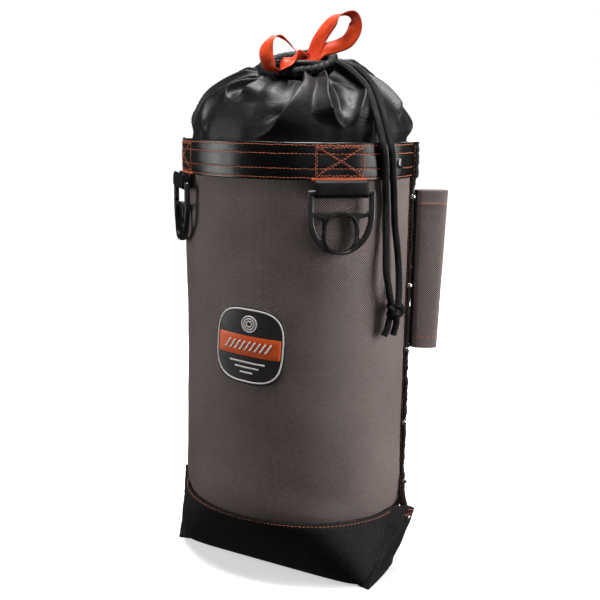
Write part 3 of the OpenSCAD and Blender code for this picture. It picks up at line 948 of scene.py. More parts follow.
def sew_band():
    spots = []
    for k, z in enumerate(STITCH_ROWS):
        points, normals = [], []
        for i in range(361):
            wave = 0.35 * MM * ripple((math.sin(math.radians(i)), k, math.cos(math.radians(i))),
                                      0.3, 5.0)
            points.append(wall(i, z + wave, band_out(i, z + wave) + 0.35 * MM))
            normals.append(wall_normal(i))
        spots += spots_along(points, normals, 3.8 * MM, 0.84, seed=k)
    sew("band_stitches", spots, THREAD, "bag", 0.33 * MM)
    ring_t = math.degrees(math.atan2(
        JOINTS["right_d_ring_swing"]["pos_m"][0] / WALL_W,
        -JOINTS["right_d_ring_swing"]["pos_m"][1] / WALL_D))
    for side, name in ((-1, "left"), (1, "right")):
        middle = arc(side * ring_t)
        t0, t1 = angle_at(middle - BOX_HALF), angle_at(middle + BOX_HALF)
        spots = []
        for inset in (0.0, 1.3 * MM):
            turn = inset / WALL_W * 60
            corners = [(t0 + turn, BOX_LOW + inset), (t1 - turn, BOX_LOW + inset),
                       (t1 - turn, BOX_HIGH - inset), (t0 + turn, BOX_HIGH - inset)]
            for (a, za), (b, zb) in zip(corners, corners[1:] + corners[:1]):
                points, normals = wall_path(a, b, za, zb, 24, 0.4 * MM)
                spots += spots_along(points, normals, 3.4 * MM, 0.62, 0.2 * MM, 17)
            for a, b in ((0, 2), (1, 3)):
                points, normals = wall_path(corners[a][0], corners[b][0], corners[a][1],
                                            corners[b][1], 30, 0.45 * MM)
                if inset:
                    points = [p + Vector((0, 0, 1.2 * MM)) for p in points[2:-2]]
                    normals = normals[2:-2]
                spots += spots_along(points, normals, 3.4 * MM, 0.62, 0.2 * MM, 23)
        sew(name + "_box_stitches", spots, THREAD, "bag", 0.32 * MM)
        spots = []
        t0, t1 = angle_at(middle - TACK_HALF), angle_at(middle + TACK_HALF)
        points, normals = wall_path(t0, t1, BAND_Z + 0.7 * MM, BAND_Z + 0.7 * MM, TACK_STEPS,
                                    0.4 * MM)
        total = lengths(points)
        number = int(total[-1] / (0.62 * MM))
        pick = random.Random(31)
        for i in range(number):
            k = min(int(i / number * TACK_STEPS), TACK_STEPS - 1)
            ahead = (points[k + 1] - points[k]).normalized()
            middle_point = points[k].lerp(points[k + 1], i / number * TACK_STEPS - k)
            slant = (Vector((0, 0, 1)) + ahead * pick.uniform(-0.25, 0.35)).normalized()
            spots.append((middle_point + Vector((0, 0, pick.uniform(-0.15, 0.15) * MM)), slant,
                          normals[k], 2.9 * MM))
        sew(name + "_bartack", spots, BRIGHT_THREAD, "bag", 0.38 * MM)


make_band()
sew_band()


# The bindings over the side seams

BINDING_SECTION = [(-1.5, 3.0), (1.0, 3.7), (3.2, 3.5), (4.8, 2.2), (5.2, 0.0), (4.8, -2.2),
                   (3.2, -3.5), (1.0, -3.7), (-1.5, -3.0)]


def seam_point(side, t, out, back, z):
    """A point beside a side seam: out of the wall, along it towards the back, and its height."""
    normal = wall_normal(t)
    p = wall(t, z) + (normal * out + Vector((-normal.y, normal.x, 0)) * back) * MM
    return Vector((side * p.x, p.y, p.z))


def binding_path(tip_z):
    """Height, distance out of the wall and distance towards the back, down a side seam."""
    return [(tip_z - 7, 6, -5), (tip_z + 6, 2.8, -4), (tip_z + 20, 1, -2), (tip_z + 38, -0.2, 0),
            (140, -0.4, 0), (200, -0.6, 0), (260, -0.6, 0), (330, -0.6, 0), (396, -0.6, 0), (405, 2.0, 0),
            (410, 2.6, 0), (439, 2.6, 0)]


def make_binding(side, name, t, tip_z):
    spine = spread(spline([Vector((out, back, z)) for z, out, back in binding_path(tip_z)], 16), 420)
    section = spline([Vector((x, y, 0)) for x, y in BINDING_SECTION], 4)
    rows, cloth = [], []
    front_line, rear_line = [], []
    for p in spine:
        z = p.z * MM
        place = Vector((side * 3.0, 0, z * 14))
        held = ease((p.z - tip_z + 6) / 20) * (1 - 0.6 * ease((p.z - 400) / 8))
        sway_out = (0.9 * ripple(place, 0.5, 1.0) + 0.8 * ripple(place, 0.17, 8.0)) * held
        sway_back = (1.1 * ripple(place, 0.4, 4.0) + 0.5 * ripple(place, 0.13, 3.0)) * held
        swell = 1.0 + 0.16 * ripple(place, 0.11, 5.0) + 0.10 * ripple(place, 0.05, 2.0)
        for row_z in STITCH_ROWS:
            swell -= 0.16 * ease((z - BAND_Z) / (4 * MM)) * bump(z, row_z, 1.8 * MM)
        row = []
        for q in section:
            rib = 0.22 * math.sin(2 * math.pi * (p.z + 0.35 * q.y) / 2.3)
            pinch = 1 - 0.35 * bump(q.x, 1.6, 0.9)
            row.append(seam_point(side, t, p.x + sway_out + q.x * swell + (rib if q.x > 0 else 0),
                                  p.y + sway_back + q.y * swell * pinch, z))
        rows.append(row)
        cloth.append([(run, p.z * MM) for run in lengths(row)])
        front_line.append(seam_point(side, t, p.x + sway_out + 1.6,
                                     p.y + sway_back - 3.0 * swell, z))
        rear_line.append(seam_point(side, t, p.x + sway_out + 1.6,
                                    p.y + sway_back + 3.0 * swell, z))
    piece = grid(name + "_webbing", rows, BINDING_CLOTH, "bag", cloth, flip=side > 0)
    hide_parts(name)
    normal = wall_normal(t)
    back = Vector((-side * normal.y, normal.x, 0))
    out = Vector((side * normal.x, normal.y, 0))
    for label, line, sign in (("front", front_line, -1), ("rear", rear_line, 1)):
        face = (back * sign + out * 0.35).normalized()
        points = line[6:-3]
        spots = spots_along(points, [face] * len(points), 4.4 * MM, 0.86, 0.2 * MM, 3)
        sew(name + "_stitches_" + label, spots, DULL_THREAD, "bag",
                    0.32 * MM)


make_binding(1, "right_seam_binding", RIGHT_SEAM, RIGHT_TIP)
make_binding(-1, "left_seam_binding", LEFT_SEAM, LEFT_TIP)


# The skirt: a dome with folds that run out from the cinched mouth

SKIRT_LOW = BAND_TOP - 16 * MM
MOUTH_Z = (HEM_LOW.z + HEM_HIGH.z) / 2
HEM_R = (HEM_HIGH.z - HEM_LOW.z) / 2
MOUTH_R = HEM_HIGH.x - HEM_R
SKIRT_IN = 6 * MM
SKIRT_PROFILE = [(1.0, 0.0), (0.995, 0.16), (0.97, 0.32), (0.915, 0.5), (0.81, 0.68),
                 (0.66, 0.83), (0.5, 0.935), (0.36, 1.0)]
SKIRT_CURVE = spread(spline([Vector((k, u, 0)) for k, u in SKIRT_PROFILE], 12), 200)
SKIRT_RISE = MOUTH_Z - HEM_R - SKIRT_LOW


def mouth_tilt(t):
    """The gathered mouth leans: it is lower in front than behind."""
    return (1.5 - 11.0 * math.cos(math.radians(t - 5))) * MM


def dome(t, s):
    """A point on the plain dome; s runs from 0 at the band to 1 at the mouth."""
    q = SKIRT_CURVE[min(int(clamp(s) * (len(SKIRT_CURVE) - 1) + 0.5), len(SKIRT_CURVE) - 1)]
    r = math.radians(t)
    bulge = 4.5 * MM * ease((s - 0.12) / 0.15) * ease((0.75 - s) / 0.4) * max(0.0, math.sin(r))
    a = (WALL_W - SKIRT_IN) * q.x + bulge
    b = (WALL_D - SKIRT_IN) * q.x + 4 * MM * (1 - q.x)
    lean = mouth_tilt(t) * ease((s - 0.45) / 0.55)
    return Vector((a * math.sin(r), -b * math.cos(r), SKIRT_LOW + SKIRT_RISE * q.y + lean))


def s_of(u):
    """The dome's s where its profile has risen by u."""
    for i, q in enumerate(SKIRT_CURVE):
        if q.y >= u:
            return i / (len(SKIRT_CURVE) - 1)
    return 1.0


# Fold lines, as (angle, rise) from the mouth outwards; then the crest's height before FOLD_DEPTH,
# and how far it reaches towards smaller angles and towards larger ones, in millimetres
FOLDS = [
    ([(-13, 1.0), (-16.4, 0.93), (-25.6, 0.76), (-22.5, 0.66), (-19.9, 0.60)], 5.5, 16, 2.6),
    ([(-3, 1.0), (-5.1, 0.89), (-7.5, 0.77), (-12.5, 0.66), (-19.0, 0.60)], 5.5, 2.6, 20),
    ([(36, 1.0), (33, 0.92), (29, 0.77), (20.7, 0.51), (14, 0.32), (3.4, 0.20)], 7.0, 3.0, 15),
    ([(62, 1.0), (55, 0.93), (44.5, 0.70), (43.9, 0.52), (46.3, 0.41), (50.7, 0.33)],
     7.0, 13, 2.6),
    ([(88, 1.0), (85.5, 0.94), (76.1, 0.79), (62.7, 0.59), (55.6, 0.43), (50.7, 0.34)],
     5.5, 4.0, 12),
    ([(-30, 1.0), (-36, 0.86), (-40, 0.62), (-34, 0.38), (-30, 0.22)], 4.0, 9, 4),
    ([(-52, 1.0), (-57, 0.88), (-63, 0.66), (-66, 0.42), (-62, 0.20)], 5.0, 10, 4),
    ([(-76, 1.0), (-80, 0.86), (-84, 0.62), (-88, 0.36), (-92, 0.18)], 5.0, 8, 4),
    ([(-98, 1.0), (-102, 0.84), (-104, 0.58), (-112, 0.30)], 5.0, 10, 5),
    ([(112, 1.0), (110, 0.86), (100, 0.62), (92, 0.40)], 5.0, 5, 12),
    ([(132, 1.0), (130, 0.84), (126, 0.58), (118, 0.30), (112, 0.18)], 5.5, 5, 12),
    ([(152, 1.0), (154, 0.86), (158, 0.62), (156, 0.40)], 5.0, 12, 4),
    ([(172, 1.0), (174, 0.88), (180, 0.62), (186, 0.34), (192, 0.20)], 6.0, 4, 13),
    ([(198, 1.0), (202, 0.86), (206, 0.66), (200, 0.46)], 5.0, 12, 4),
    ([(222, 1.0), (224, 0.84), (230, 0.58), (238, 0.32), (240, 0.20)], 5.5, 5, 12),
    ([(244, 1.0), (247, 0.86), (250, 0.60), (248, 0.40)], 5.0, 10, 4),
]
VALLEYS = [
    ([(31, 0.98), (28.0, 0.84), (21.5, 0.62), (8.3, 0.34)], 3.2, 8, 4),
    ([(-10, 0.98), (-14, 0.84), (-17.5, 0.72)], 3.0, 5, 5),
    ([(66, 0.98), (58, 0.84), (51, 0.62), (49.6, 0.45)], 4.0, 5, 6),
]


FOLD_DEPTH = 1.75


class FoldLine:
    """A crest or a valley on the dome, and how high it is at any point."""

    def __init__(self, line, height, before, after):
        path = spline([Vector((t, s_of(u), 0)) for t, u in line], 10)
        self.path = path
        self.height = FOLD_DEPTH * height * MM
        self.before = before * MM
        self.after = after * MM
        self.start = path[-1].y
        self.low = min(p.x for p in path) - 45
        self.high = max(p.x for p in path) + 45

    def rise(self, t, s):
        middle = (self.low + self.high) / 2
        t = t + 360 * round((middle - t) / 360)
        if not self.low < t < self.high:
            return 0.0
        best = self.path[0].x if s > self.path[0].y else None
        for a, b in zip(self.path, self.path[1:]):
            if (a.y - s) * (b.y - s) <= 0 and a.y != b.y:
                best = mix(a.x, b.x, (s - a.y) / (b.y - a.y))
                break
        if best is None:
            return 0.0
        radius = dome(t, s).xy.length
        away = math.radians(t - best) * radius
        fade = ease((s - self.start) / 0.16)
        width = self.before if away < 0 else self.after
        narrow = mix(1.0, 0.45, ease((s - 0.6) / 0.4)) if width > 6 * MM else 1.0
        return self.height * fade * math.exp(-abs(away / (width * narrow)) ** 1.1)


CRESTS = [FoldLine(*fold) for fold in FOLDS]
DIPS = [FoldLine(*fold) for fold in VALLEYS]


def skirt_lift(t, s):
    r = math.radians(t)
    lift = 0.0
    for crest in CRESTS:
        lift = max(lift, crest.rise(t, s))
    for dip in DIPS:
        lift -= dip.rise(t, s)
    near = ease((s - 0.5) / 0.4)
    wavy = 2.2 * ripple((math.sin(r), math.cos(r), 0), 0.5, 3.0)
    pleats = abs(math.sin(11 * r + wavy)) - 0.6
    low_folds = ripple((math.sin(r) * 6, math.cos(r) * 6, s * 1.4), 0.75, 12.0)
    wander = ripple((math.sin(r) * 1.2, math.cos(r) * 1.2, s * 0.7), 0.35, 6.0)
    lift += 2.4 * MM * near * pleats + 1.8 * MM * wander * ease(s / 0.3)
    lift += 1.5 * MM * low_folds * ease(s / 0.15) * (1 - 0.6 * near)
    return lift * ease(s / 0.12) * mix(1.0, 0.55, ease((s - 0.9) / 0.1)) - 1.5 * MM * ease(s / 0.2)


def make_skirt():
    rows, cloth = [], []
    across, up = 540, 120
    height = lengths([dome(0, k / 40) for k in range(41)])[-1]
    for j in range(up + 1):
        s = j / up
        row, marks = [], []
        for i in range(across + 1):
            t = 360 * i / across - 180
            here = dome(t, s)
            higher = dome(t, min(s + 0.02, 1.0)) - dome(t, max(s - 0.02, 0.0))
            sideways = dome(t + 0.5, s) - dome(t - 0.5, s)
            normal = sideways.cross(higher).normalized()
            row.append(here + normal * skirt_lift(t, s))
            marks.append((arc(t + 180), s * height))
        rows.append(row)
        cloth.append(marks)
    piece = thicken(grid("skirt_nylon_cloth", rows, NYLON, "bag", cloth), 0.5 * MM)
    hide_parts("skirt")


make_skirt()


def hem_centre(t):
    r = math.radians(t)
    front = 0.5 + 0.5 * math.cos(r)
    ring = MOUTH_R + 1.5 * MM * front + 0.9 * MM * math.sin(5 * r + 1.0)
    return Vector((ring * math.sin(r), -ring * math.cos(r),
                   MOUTH_Z + mouth_tilt(t) + 0.6 * MM * math.sin(3 * r + 0.4)))


def make_hem():
    rows, cloth = [], []
    for i in range(361):
        r = math.radians(i)
        centre = hem_centre(i)
        outward = Vector((math.sin(r), -math.cos(r), 0))
        gather = math.sin(34 * r + 2.5 * ripple((math.sin(r), math.cos(r), 0), 0.6, 2.0))
        row = []
        for k in range(25):
            a = 2 * math.pi * k / 24
            size = HEM_R * (0.92 + 0.07 * gather * (0.6 + 0.4 * math.cos(a)))
            row.append(centre + outward * size * math.cos(a) + Vector((0, 0, size * math.sin(a))))
        rows.append(row)
        cloth.append([(MOUTH_R * r, HEM_R * 2 * math.pi * k / 24) for k in range(25)])
    piece = grid("mouth_hem_nylon", rows, HEM_NYLON, "bag", cloth, flip=True)
    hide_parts("mouth_hem")
    points, normals = [], []
    for i in range(361):
        r = math.radians(i)
        outward = Vector((math.sin(r), -math.cos(r), 0))
        normal = (outward * 0.9 + Vector((0, 0, 0.25))).normalized()
        points.append(hem_centre(i) + outward * 5.4 * MM + Vector((0, 0, -3.4 * MM)))
        normals.append(normal)
    sew("mouth_hem_stitches", spots_along(points, normals, 3.2 * MM, 0.7), BINDING_CLOTH,
                "bag", 0.35 * MM)
    return piece


HEM = make_hem()


# The pull ribbons: each loop is a closed path of points across the front view, towards the
# viewer, and height, with the ribbon's own width direction at each point in the same axes

VIEW_TURN = math.radians(30)
LEFT_LOOP = [((7, 14, 519), (0.35, 0.75, 0.5)), ((-3, 17, 525), (0.4, 0.75, -0.4)),
             ((-12, 23, 533), (0.5, 0.75, -0.35)), ((-22, 33, 537), (0.45, 0.9, 0.0)),
             ((-30, 41, 530), (0.8, 0.55, 0.25)), ((-31, 46, 518), (0.95, 0.3, 0.0)),
             ((-26, 46, 507), (0.85, 0.5, -0.1)), ((-17, 42, 505), (0.35, 0.9, 0.2)),
             ((-10, 36, 514), (0.8, 0.5, -0.3)), ((-3, 27, 520), (0.3, 0.7, 0.6)),
             ((5, 16, 516), (0.25, 0.8, 0.5))]
RIGHT_LOOP = [((13, 14, 516), (0.9, 0.3, 0.15)), ((16, 12, 526), (0.9, 0.35, -0.2)),
              ((21, 11, 538), (0.85, 0.4, -0.35)), ((31, 11, 552), (0.6, 0.6, -0.5)),
              ((41, 14, 559), (0.15, 0.95, -0.1)), ((52, 18, 557), (0.6, 0.75, 0.25)),
              ((54, 21, 546), (0.95, 0.3, 0.0)), ((48, 21, 535), (0.75, 0.3, -0.6)),
              ((38, 18, 530), (0.25, 0.4, -0.85)), ((24, 15, 526), (0.25, 0.5, -0.8)),
              ((15, 14, 518), (0.6, 0.5, -0.4))]
RIBBON_HALF = 7.0 * MM


def from_view(p):
    c, s = math.cos(VIEW_TURN), math.sin(VIEW_TURN)
    return Vector((p[0] * c + p[1] * s, p[0] * s - p[1] * c, p[2]))


def make_ribbon(name, loop):
    points = [from_view(place) * MM for place, across in loop]
    widths = [from_view(across).normalized() for place, across in loop]
    path = spline(points, 14, closed=True)
    turned = spline(widths, 14, closed=True)
    path.append(path[0].copy())
    turned.append(turned[0].copy())
    total = lengths(path)
    rows, cloth = [], []
    count = len(path)
    for i, p in enumerate(path):
        ahead = (path[(i + 1) % (count - 1)] - path[i - 1 if i else count - 2]).normalized()
        width = turned[i]
        width = (width - ahead * width.dot(ahead)).normalized()
        out = ahead.cross(width).normalized()
        row, marks = [], []
        for k in range(9):
            v = (k / 4 - 1) * RIBBON_HALF
            curl = 0.6 * MM * math.cos(v / RIBBON_HALF * math.pi) * math.sin(
                i / (count - 1) * 6 * math.pi)
            row.append(p + width * v + out * curl)
            marks.append((total[i], v))
        rows.append(row)
        cloth.append(marks)
    piece = thicken(grid(name + "_satin", rows, RIBBON, "bag", cloth), 0.5 * MM, 0)
    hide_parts(name)


make_ribbon("left_pull_ribbon", LEFT_LOOP)
make_ribbon("right_pull_ribbon", RIGHT_LOOP)


# The D-rings and the webbing loops that hold them

RING_HALF_W = 31.75 * MM
RING_SIDE = 21 * MM
RING_END = 36 * MM
RING_T = 6 * MM
EYE_Z = -37.1 * MM
EYE_R = 14.2 * MM
EYE_TALL = 4.2 * MM
ROUND_STEPS = 24


class RingPlace:
    """A D-ring's own axes: across, up, and out of the wall, from its joint."""

    def __init__(self, joint):
        self.bar = Vector(joint["pos_m"])
        across = Vector((abs(joint["axis"][0]), abs(joint["axis"][1]), 0)).normalized()
        if self.bar.x < 0:
            across.y = -across.y
        self.across = across
        self.out = Vector((across.y, -across.x, 0))

    def at(self, p):
        return self.bar + self.across * p[0] + Vector((0, 0, p[1])) + self.out * p[2]


def ring_side(inset):
    """The D's outline, from its top left corner down and round to its top right corner."""
    w = RING_HALF_W - inset
    outline = [(-w, 0)]
    for k in range(25):
        a = math.pi * (1 - k / 24)
        outline.append((w * math.cos(a), -RING_SIDE - (RING_END - inset) * math.sin(a)))
    return outline + [(w, 0)]


def eye_outline(out=0.0):
    """The rounded upright eye, or a line that far outside it."""
    return superellipse(EYE_R + out, EYE_R + out + EYE_TALL / 2, 48, 2.5, EYE_Z)


def curve_plate(name, outlines, thickness, bevel):
    """A flat plate with holes and rounded edges, as a mesh in the plane of its outlines."""
    data = bpy.data.curves.new(name, "CURVE")
    data.dimensions = "2D"
    data.fill_mode = "BOTH"
    data.extrude = thickness / 2 - bevel
    data.bevel_depth = bevel
    data.bevel_resolution = 3
    data.offset = -bevel
    for outline in outlines:
        line = data.splines.new("POLY")
        line.points.add(len(outline) - 1)
        for point, (x, y) in zip(line.points, outline):
            point.co = (x, y, 0, 1)
        line.use_cyclic_u = True
    holder = bpy.data.objects.new(name, data)
    bpy.context.scene.collection.objects.link(holder)
    bpy.context.view_layer.update()
    flat = holder.evaluated_get(bpy.context.evaluated_depsgraph_get())
    mesh = bpy.data.meshes.new_from_object(flat)
    points = [v.co.copy() for v in mesh.vertices]
    faces = [tuple(p.vertices) for p in mesh.polygons]
    bpy.data.objects.remove(holder)
    bpy.data.curves.remove(data)
    bpy.data.meshes.remove(mesh)
    return points, faces


def make_ring(name):
    place = RingPlace(JOINTS[name + "_swing"])
    rim = 5.2 * MM
    outer = [(-RING_HALF_W, 2.2 * MM)] + ring_side(0) + [(RING_HALF_W, 2.2 * MM)]
    w = RING_HALF_W - rim
    window_dip = 0.72 * MM
    window = [(-w, -2.9 * MM), (-w, -16.5 * MM)]
    for k in range(13):
        f = k / 12
        window.append((mix(-w + 3 * MM, w - 3 * MM, f),
                       -18.2 * MM - window_dip * (1 - 4 * (f - 0.5) ** 2)))
    window += [(w, -16.5 * MM), (w, -2.9 * MM)]
    openings = []
    for s in (-1, 1):
        corner = [(s * 17.6 * MM, -24.0 * MM), (s * 25.6 * MM, -21.6 * MM),
                  (s * 26.3 * MM, -24.5 * MM), (s * 25.2 * MM, -30 * MM),
                  (s * 22.6 * MM, -37 * MM), (s * 20.4 * MM, -41.5 * MM),
                  (s * 18.2 * MM, -41.0 * MM), (s * 17.4 * MM, -36 * MM)]
        openings.append(corner)
    eye = eye_outline()
    points, faces = curve_plate(name + "_plate", [outer, window, eye] + openings, RING_T * 0.82,
                                1.1 * MM)
    solid = [place.at(p) for p in points]
    # A raised rim round the eye, and the round bar at the top
    path = [place.at((x, y, 0)) for x, y in eye_outline(1.0 * MM)]
    first = len(solid)
    section = [(-1.0, 0.0), (-0.75, 3.0), (0.0, 3.9), (1.2, 3.9), (2.0, 2.6), (2.2, 0.0),
               (2.0, -2.6), (1.2, -3.6), (0.0, -3.6), (-0.75, -2.6)]
    centre = place.at((0, EYE_Z, 0))
    for p in path:
        outward = (p - centre).normalized()
        for x, n in section:
            solid.append(p + outward * x * MM + place.out * n * MM)
    faces += ring_faces(first, len(path), len(section), joined=True)
    first = len(solid)
    bar = [(-31.0, 2.2), (-30.4, 2.9), (30.4, 2.9), (31.0, 2.2)]
    for x, r in bar:
        for k in range(ROUND_STEPS):
            a = 2 * math.pi * k / ROUND_STEPS
            solid.append(place.at((x * MM, r * MM * math.cos(a), r * MM * math.sin(a))))
    faces += ring_faces(first, len(bar), ROUND_STEPS)
    faces.append(tuple(first + k for k in range(ROUND_STEPS - 1, -1, -1)))
    faces.append(tuple(first + (len(bar) - 1) * ROUND_STEPS + k for k in range(ROUND_STEPS)))
    piece = make(name + "_moulding", solid, faces, RING_PLASTIC, name)
    edges = piece.modifiers.new("crisp", "EDGE_SPLIT")
    edges.split_angle = math.radians(38)
    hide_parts(name)


def make_ring_loop(name, joint):
    place = RingPlace(JOINTS[joint])
    half = 25 * MM
    inner = 3.1 * MM
    outer = 4.8 * MM
    top = BAND_Z + 0.5 * MM - place.bar.z
    section = [(top, outer - 1.6 * MM), (top - 3 * MM, outer - 0.3 * MM), (5 * MM, outer),
               (2 * MM, outer)]
    for k in range(13):
        a = math.pi * k / 12
        section.append((-outer * math.sin(a), outer * math.cos(a)))
    section += [(2 * MM, -outer), (5 * MM, -outer), (top, -outer + 0.4 * MM)]
    rows, cloth = [], []
    run = 0.0
    last = section[0]
    for z, n in section:
        run += math.hypot(z - last[0], n - last[1])
        last = (z, n)
        row, marks = [], []
        for k in range(33):
            f = k / 32 * 2 - 1
            edge = 0.5 * MM * abs(f) ** 14
            wavy = 0.25 * MM * math.sin(3.1 * f + z * 90)
            row.append(place.at((f * half, z, n - math.copysign(edge, n) + wavy * (z > 0) * 0.5)))
            marks.append((f * half, run))
        rows.append(row)
        cloth.append(marks)
    piece = thicken(grid(name + "_webbing", rows, LOOP_WEBBING, "bag", cloth, flip=True),
                    outer - inner)
    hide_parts(name)


for side_name in ("left", "right"):
    make_ring(side_name + "_d_ring")
    make_ring_loop(side_name + "_d_ring_loop", side_name + "_d_ring_swing")


# The tool sleeve

SLEEVE_LOW, SLEEVE_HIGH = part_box("tool_sleeve")
SLEEVE_TURN = math.radians(30)
SLEEVE_SECTION = [(-1.2, 0.6), (1.4, 1.9), (4, 4.3), (8, 5.0), (14, 5.2), (20.5, 5.0), (25.5, 4.2),
                  (28.2, 2.2), (29.2, 0), (28.2, -2.2), (25.5, -4.2), (20.5, -5.0), (14, -5.2),
                  (8, -5.0), (4, -4.3), (1.4, -1.9), (-1.2, -0.6)]
SLEEVE_HEMS = [SLEEVE_HIGH.z - 13.5 * MM, SLEEVE_LOW.z + 11 * MM]


def sleeve_out(x, n, z):
    """The cloth's distance out of the sleeve's middle plane, from the plain section's."""
    soft = 0.8 * ripple((x * 2 * MM, math.copysign(0.02, n), z), 0.035, 9.0)
    hem = 0.45 * (bump(z, SLEEVE_HIGH.z, 12 * MM) + bump(z, SLEEVE_LOW.z, 10 * MM))
    dip = 0.5 * sum(bump(z, line, 1.2 * MM) for line in SLEEVE_HEMS)
    return n + math.copysign(soft + hem - dip, n) * ease(x / 8) * ease(abs(n) / 3)


def make_sleeve():
    joint = JOINTS["tool_sleeve_swing"]
    hinge = Vector((joint["pos_m"][0], joint["pos_m"][1], 0))
    along = Vector((math.cos(SLEEVE_TURN), math.sin(SLEEVE_TURN), 0))
    front = Vector((along.y, -along.x, 0))
    low, high = SLEEVE_LOW.z, SLEEVE_HIGH.z

    def sleeve_point(x, n, z, out=0.0):
        taper = mix(0.89, 1.07, (z - low) / (high - low))
        return (hinge + along * x * taper * MM
                + front * (sleeve_out(x, n, z) + math.copysign(out, n)) * MM + Vector((0, 0, z)))

    ring = spread(spline([Vector((x, n, 0)) for x, n in SLEEVE_SECTION], 8), 97)
    rows, cloth = [], []
    count = 110
    for j in range(count + 1):
        z = mix(low, high, j / count)
        row = [sleeve_point(q.x, q.y, z) for q in ring]
        rows.append(row)
        cloth.append([(run, z) for run in lengths(row)])
    piece = thicken(grid("tool_sleeve_cloth", rows, BODY_CLOTH, "tool_sleeve", cloth), 1.2 * MM)
    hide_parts("tool_sleeve")
    spots = []
    for z in SLEEVE_HEMS:
        for face in (1, -1):
            path = [sleeve_point(q.x, q.y, z, 0.3) for q in ring if q.y * face > 2.0]
            spots += spots_along(path, [front * face] * len(path), 3.4 * MM, 0.84)
    sew("tool_sleeve_stitches", spots, THREAD, "tool_sleeve", 0.34 * MM)
    fold = [hinge + Vector((0, 0, mix(low + 0.5 * MM, high - 0.5 * MM, i / 60)))
            for i in range(61)]
    edge = tube("tool_sleeve_edge_binding", fold, 2.1 * MM, 14, BINDING_CLOTH, "tool_sleeve",
                lambda run, angle: 1 - 0.1 * abs(math.sin(math.pi * run / (4.4 * MM))))


make_sleeve()


# The label: a plain rounded square with a rope motif

LABEL_T = 4.0
LABEL_Z = 0.246
LABEL_LEAN = math.radians(-4)
LABEL_HALF = 38 * MM


def label_point(x, y, out):
    """A place on the label, which follows the wall."""
    c, s = math.cos(LABEL_LEAN), math.sin(LABEL_LEAN)
    along = x * c - y * s
    up = x * s + y * c
    t = angle_at(arc(LABEL_T) + along)
    z = LABEL_Z + up
    return wall(t, z, sag(t, z) + out)


def label_plate():
    outline = superellipse(LABEL_HALF, LABEL_HALF)
    rows = []
    for f, out in ((0.0, 1.5), (0.25, 1.5), (0.5, 1.5), (0.7, 1.5), (0.85, 1.5), (0.95, 1.5),
                   (0.975, 1.6), (0.99, 1.5), (1.0, 1.1), (1.0, -0.6)):
        rows.append([label_point(x * f, y * f, out * MM) for x, y in outline])
    piece = grid("label_patch_rubber", rows, LABEL_RUBBER, "bag", closed=True, flip=True)
    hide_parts("label_patch")


def label_ridge(name, outline, half_width, closed=True, height=0.55 * MM):
    """A low raised line on the label."""
    before = outline[-1:] + outline[:-1] if closed else outline[:1] + outline[:-1]
    after = outline[1:] + (outline[:1] if closed else outline[-1:])
    rows = []
    for a, (x, y), b in zip(before, outline, after):
        dx, dy = b[0] - a[0], b[1] - a[1]
        size = math.hypot(dx, dy)
        nx, ny = -dy / size, dx / size
        row = []
        for side, up in ((-1, -0.3), (-0.85, 0.75), (0, 1.0), (0.85, 0.75), (1, -0.3)):
            row.append(label_point(x + nx * side * half_width, y + ny * side * half_width,
                                   1.5 * MM + up * height))
        rows.append(row)
    if closed:
        rows.append([p.copy() for p in rows[0]])
    piece = grid(name, rows, LABEL_PALE, "bag")


def label_stripe():
    half = 10 * MM
    inset = LABEL_HALF - 4.6 * MM
    rows = []
    for j in range(9):
        y = mix(-half, half, j / 8)
        width = inset * (1 - abs(y / inset) ** 3.2) ** (1 / 3.2)
        edge = 0.25 if j in (0, 8) else 1.0
        row = [label_point(-width, y, 1.4 * MM)]
        row += [label_point(mix(-width, width, k / 24), y, (1.5 + 0.6 * edge) * MM)
                for k in range(25)]
        row.append(label_point(width, y, 1.4 * MM))
        rows.append(row)
    piece = grid("label_stripe_rubber", rows, LABEL_ORANGE, "bag")
    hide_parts("label_stripe")


def circle_outline(x, y, r, count=36):
    return [(x + r * math.cos(2 * math.pi * k / count), y + r * math.sin(2 * math.pi * k / count))
            for k in range(count)]


def label_rope():
    """A twisted rope drawn along the stripe as a row of slanted strands."""
    for k in range(9):
        x = (k - 4) * 5.4 * MM
        strand = []
        for i in range(9):
            f = i / 8 - 0.5
            strand.append((x + f * 6.6 * MM, 4.2 * MM * math.sin(math.pi * f)))
        label_ridge("label_rope_strand_%d" % k, strand, 1.05 * MM, False, 1.3 * MM)


def make_label():
    label_plate()
    border = LABEL_HALF - 2.6 * MM
    label_ridge("label_border_line", superellipse(border, border), 0.85 * MM)
    label_stripe()
    label_rope()
    for k, r in enumerate((7.6, 5.2, 2.8)):
        label_ridge("label_coil_ring_%d" % k, circle_outline(0, 21.5 * MM, r * MM), 0.75 * MM)
    for k, half in enumerate((19, 13, 7)):
        y = (-16.5 - 5.0 * k) * MM
        bar = [(mix(-half, half, i / 8) * MM, y) for i in range(9)]
        label_ridge("label_bar_%d" % k, bar, 0.9 * MM, False)


make_label()


# The rivet caps, and the frame's own nodes that stay: board, stiffener and cord inside the hem

def dress(node, material):
    mesh = frame["nodes"][node].data
    mesh.materials.clear()
    mesh.materials.append(material)
    for polygon in mesh.polygons:
        polygon.use_smooth = True


BAND_RIVET_T = 82


def make_rivet_cap(points, faces, middle, out, radius, height):
    """A domed cap with a rolled edge and a small dimple."""
    profile = [(1.0, -0.5), (1.0, 0.25), (0.96, 0.5), (0.86, 0.72), (0.6, 0.93), (0.3, 1.0),
               (0.0, 0.98)]
    side = out.cross(Vector((0, 0, 1))).normalized()
    other = out.cross(side)
    first = len(points)
    for r, h in profile:
        for k in range(ROUND_STEPS):
            a = 2 * math.pi * k / ROUND_STEPS
            points.append(middle + (side * math.cos(a) + other * math.sin(a)) * radius * r
                          + out * height * h)
    faces.extend(ring_faces(first, len(profile), ROUND_STEPS, flip=True))


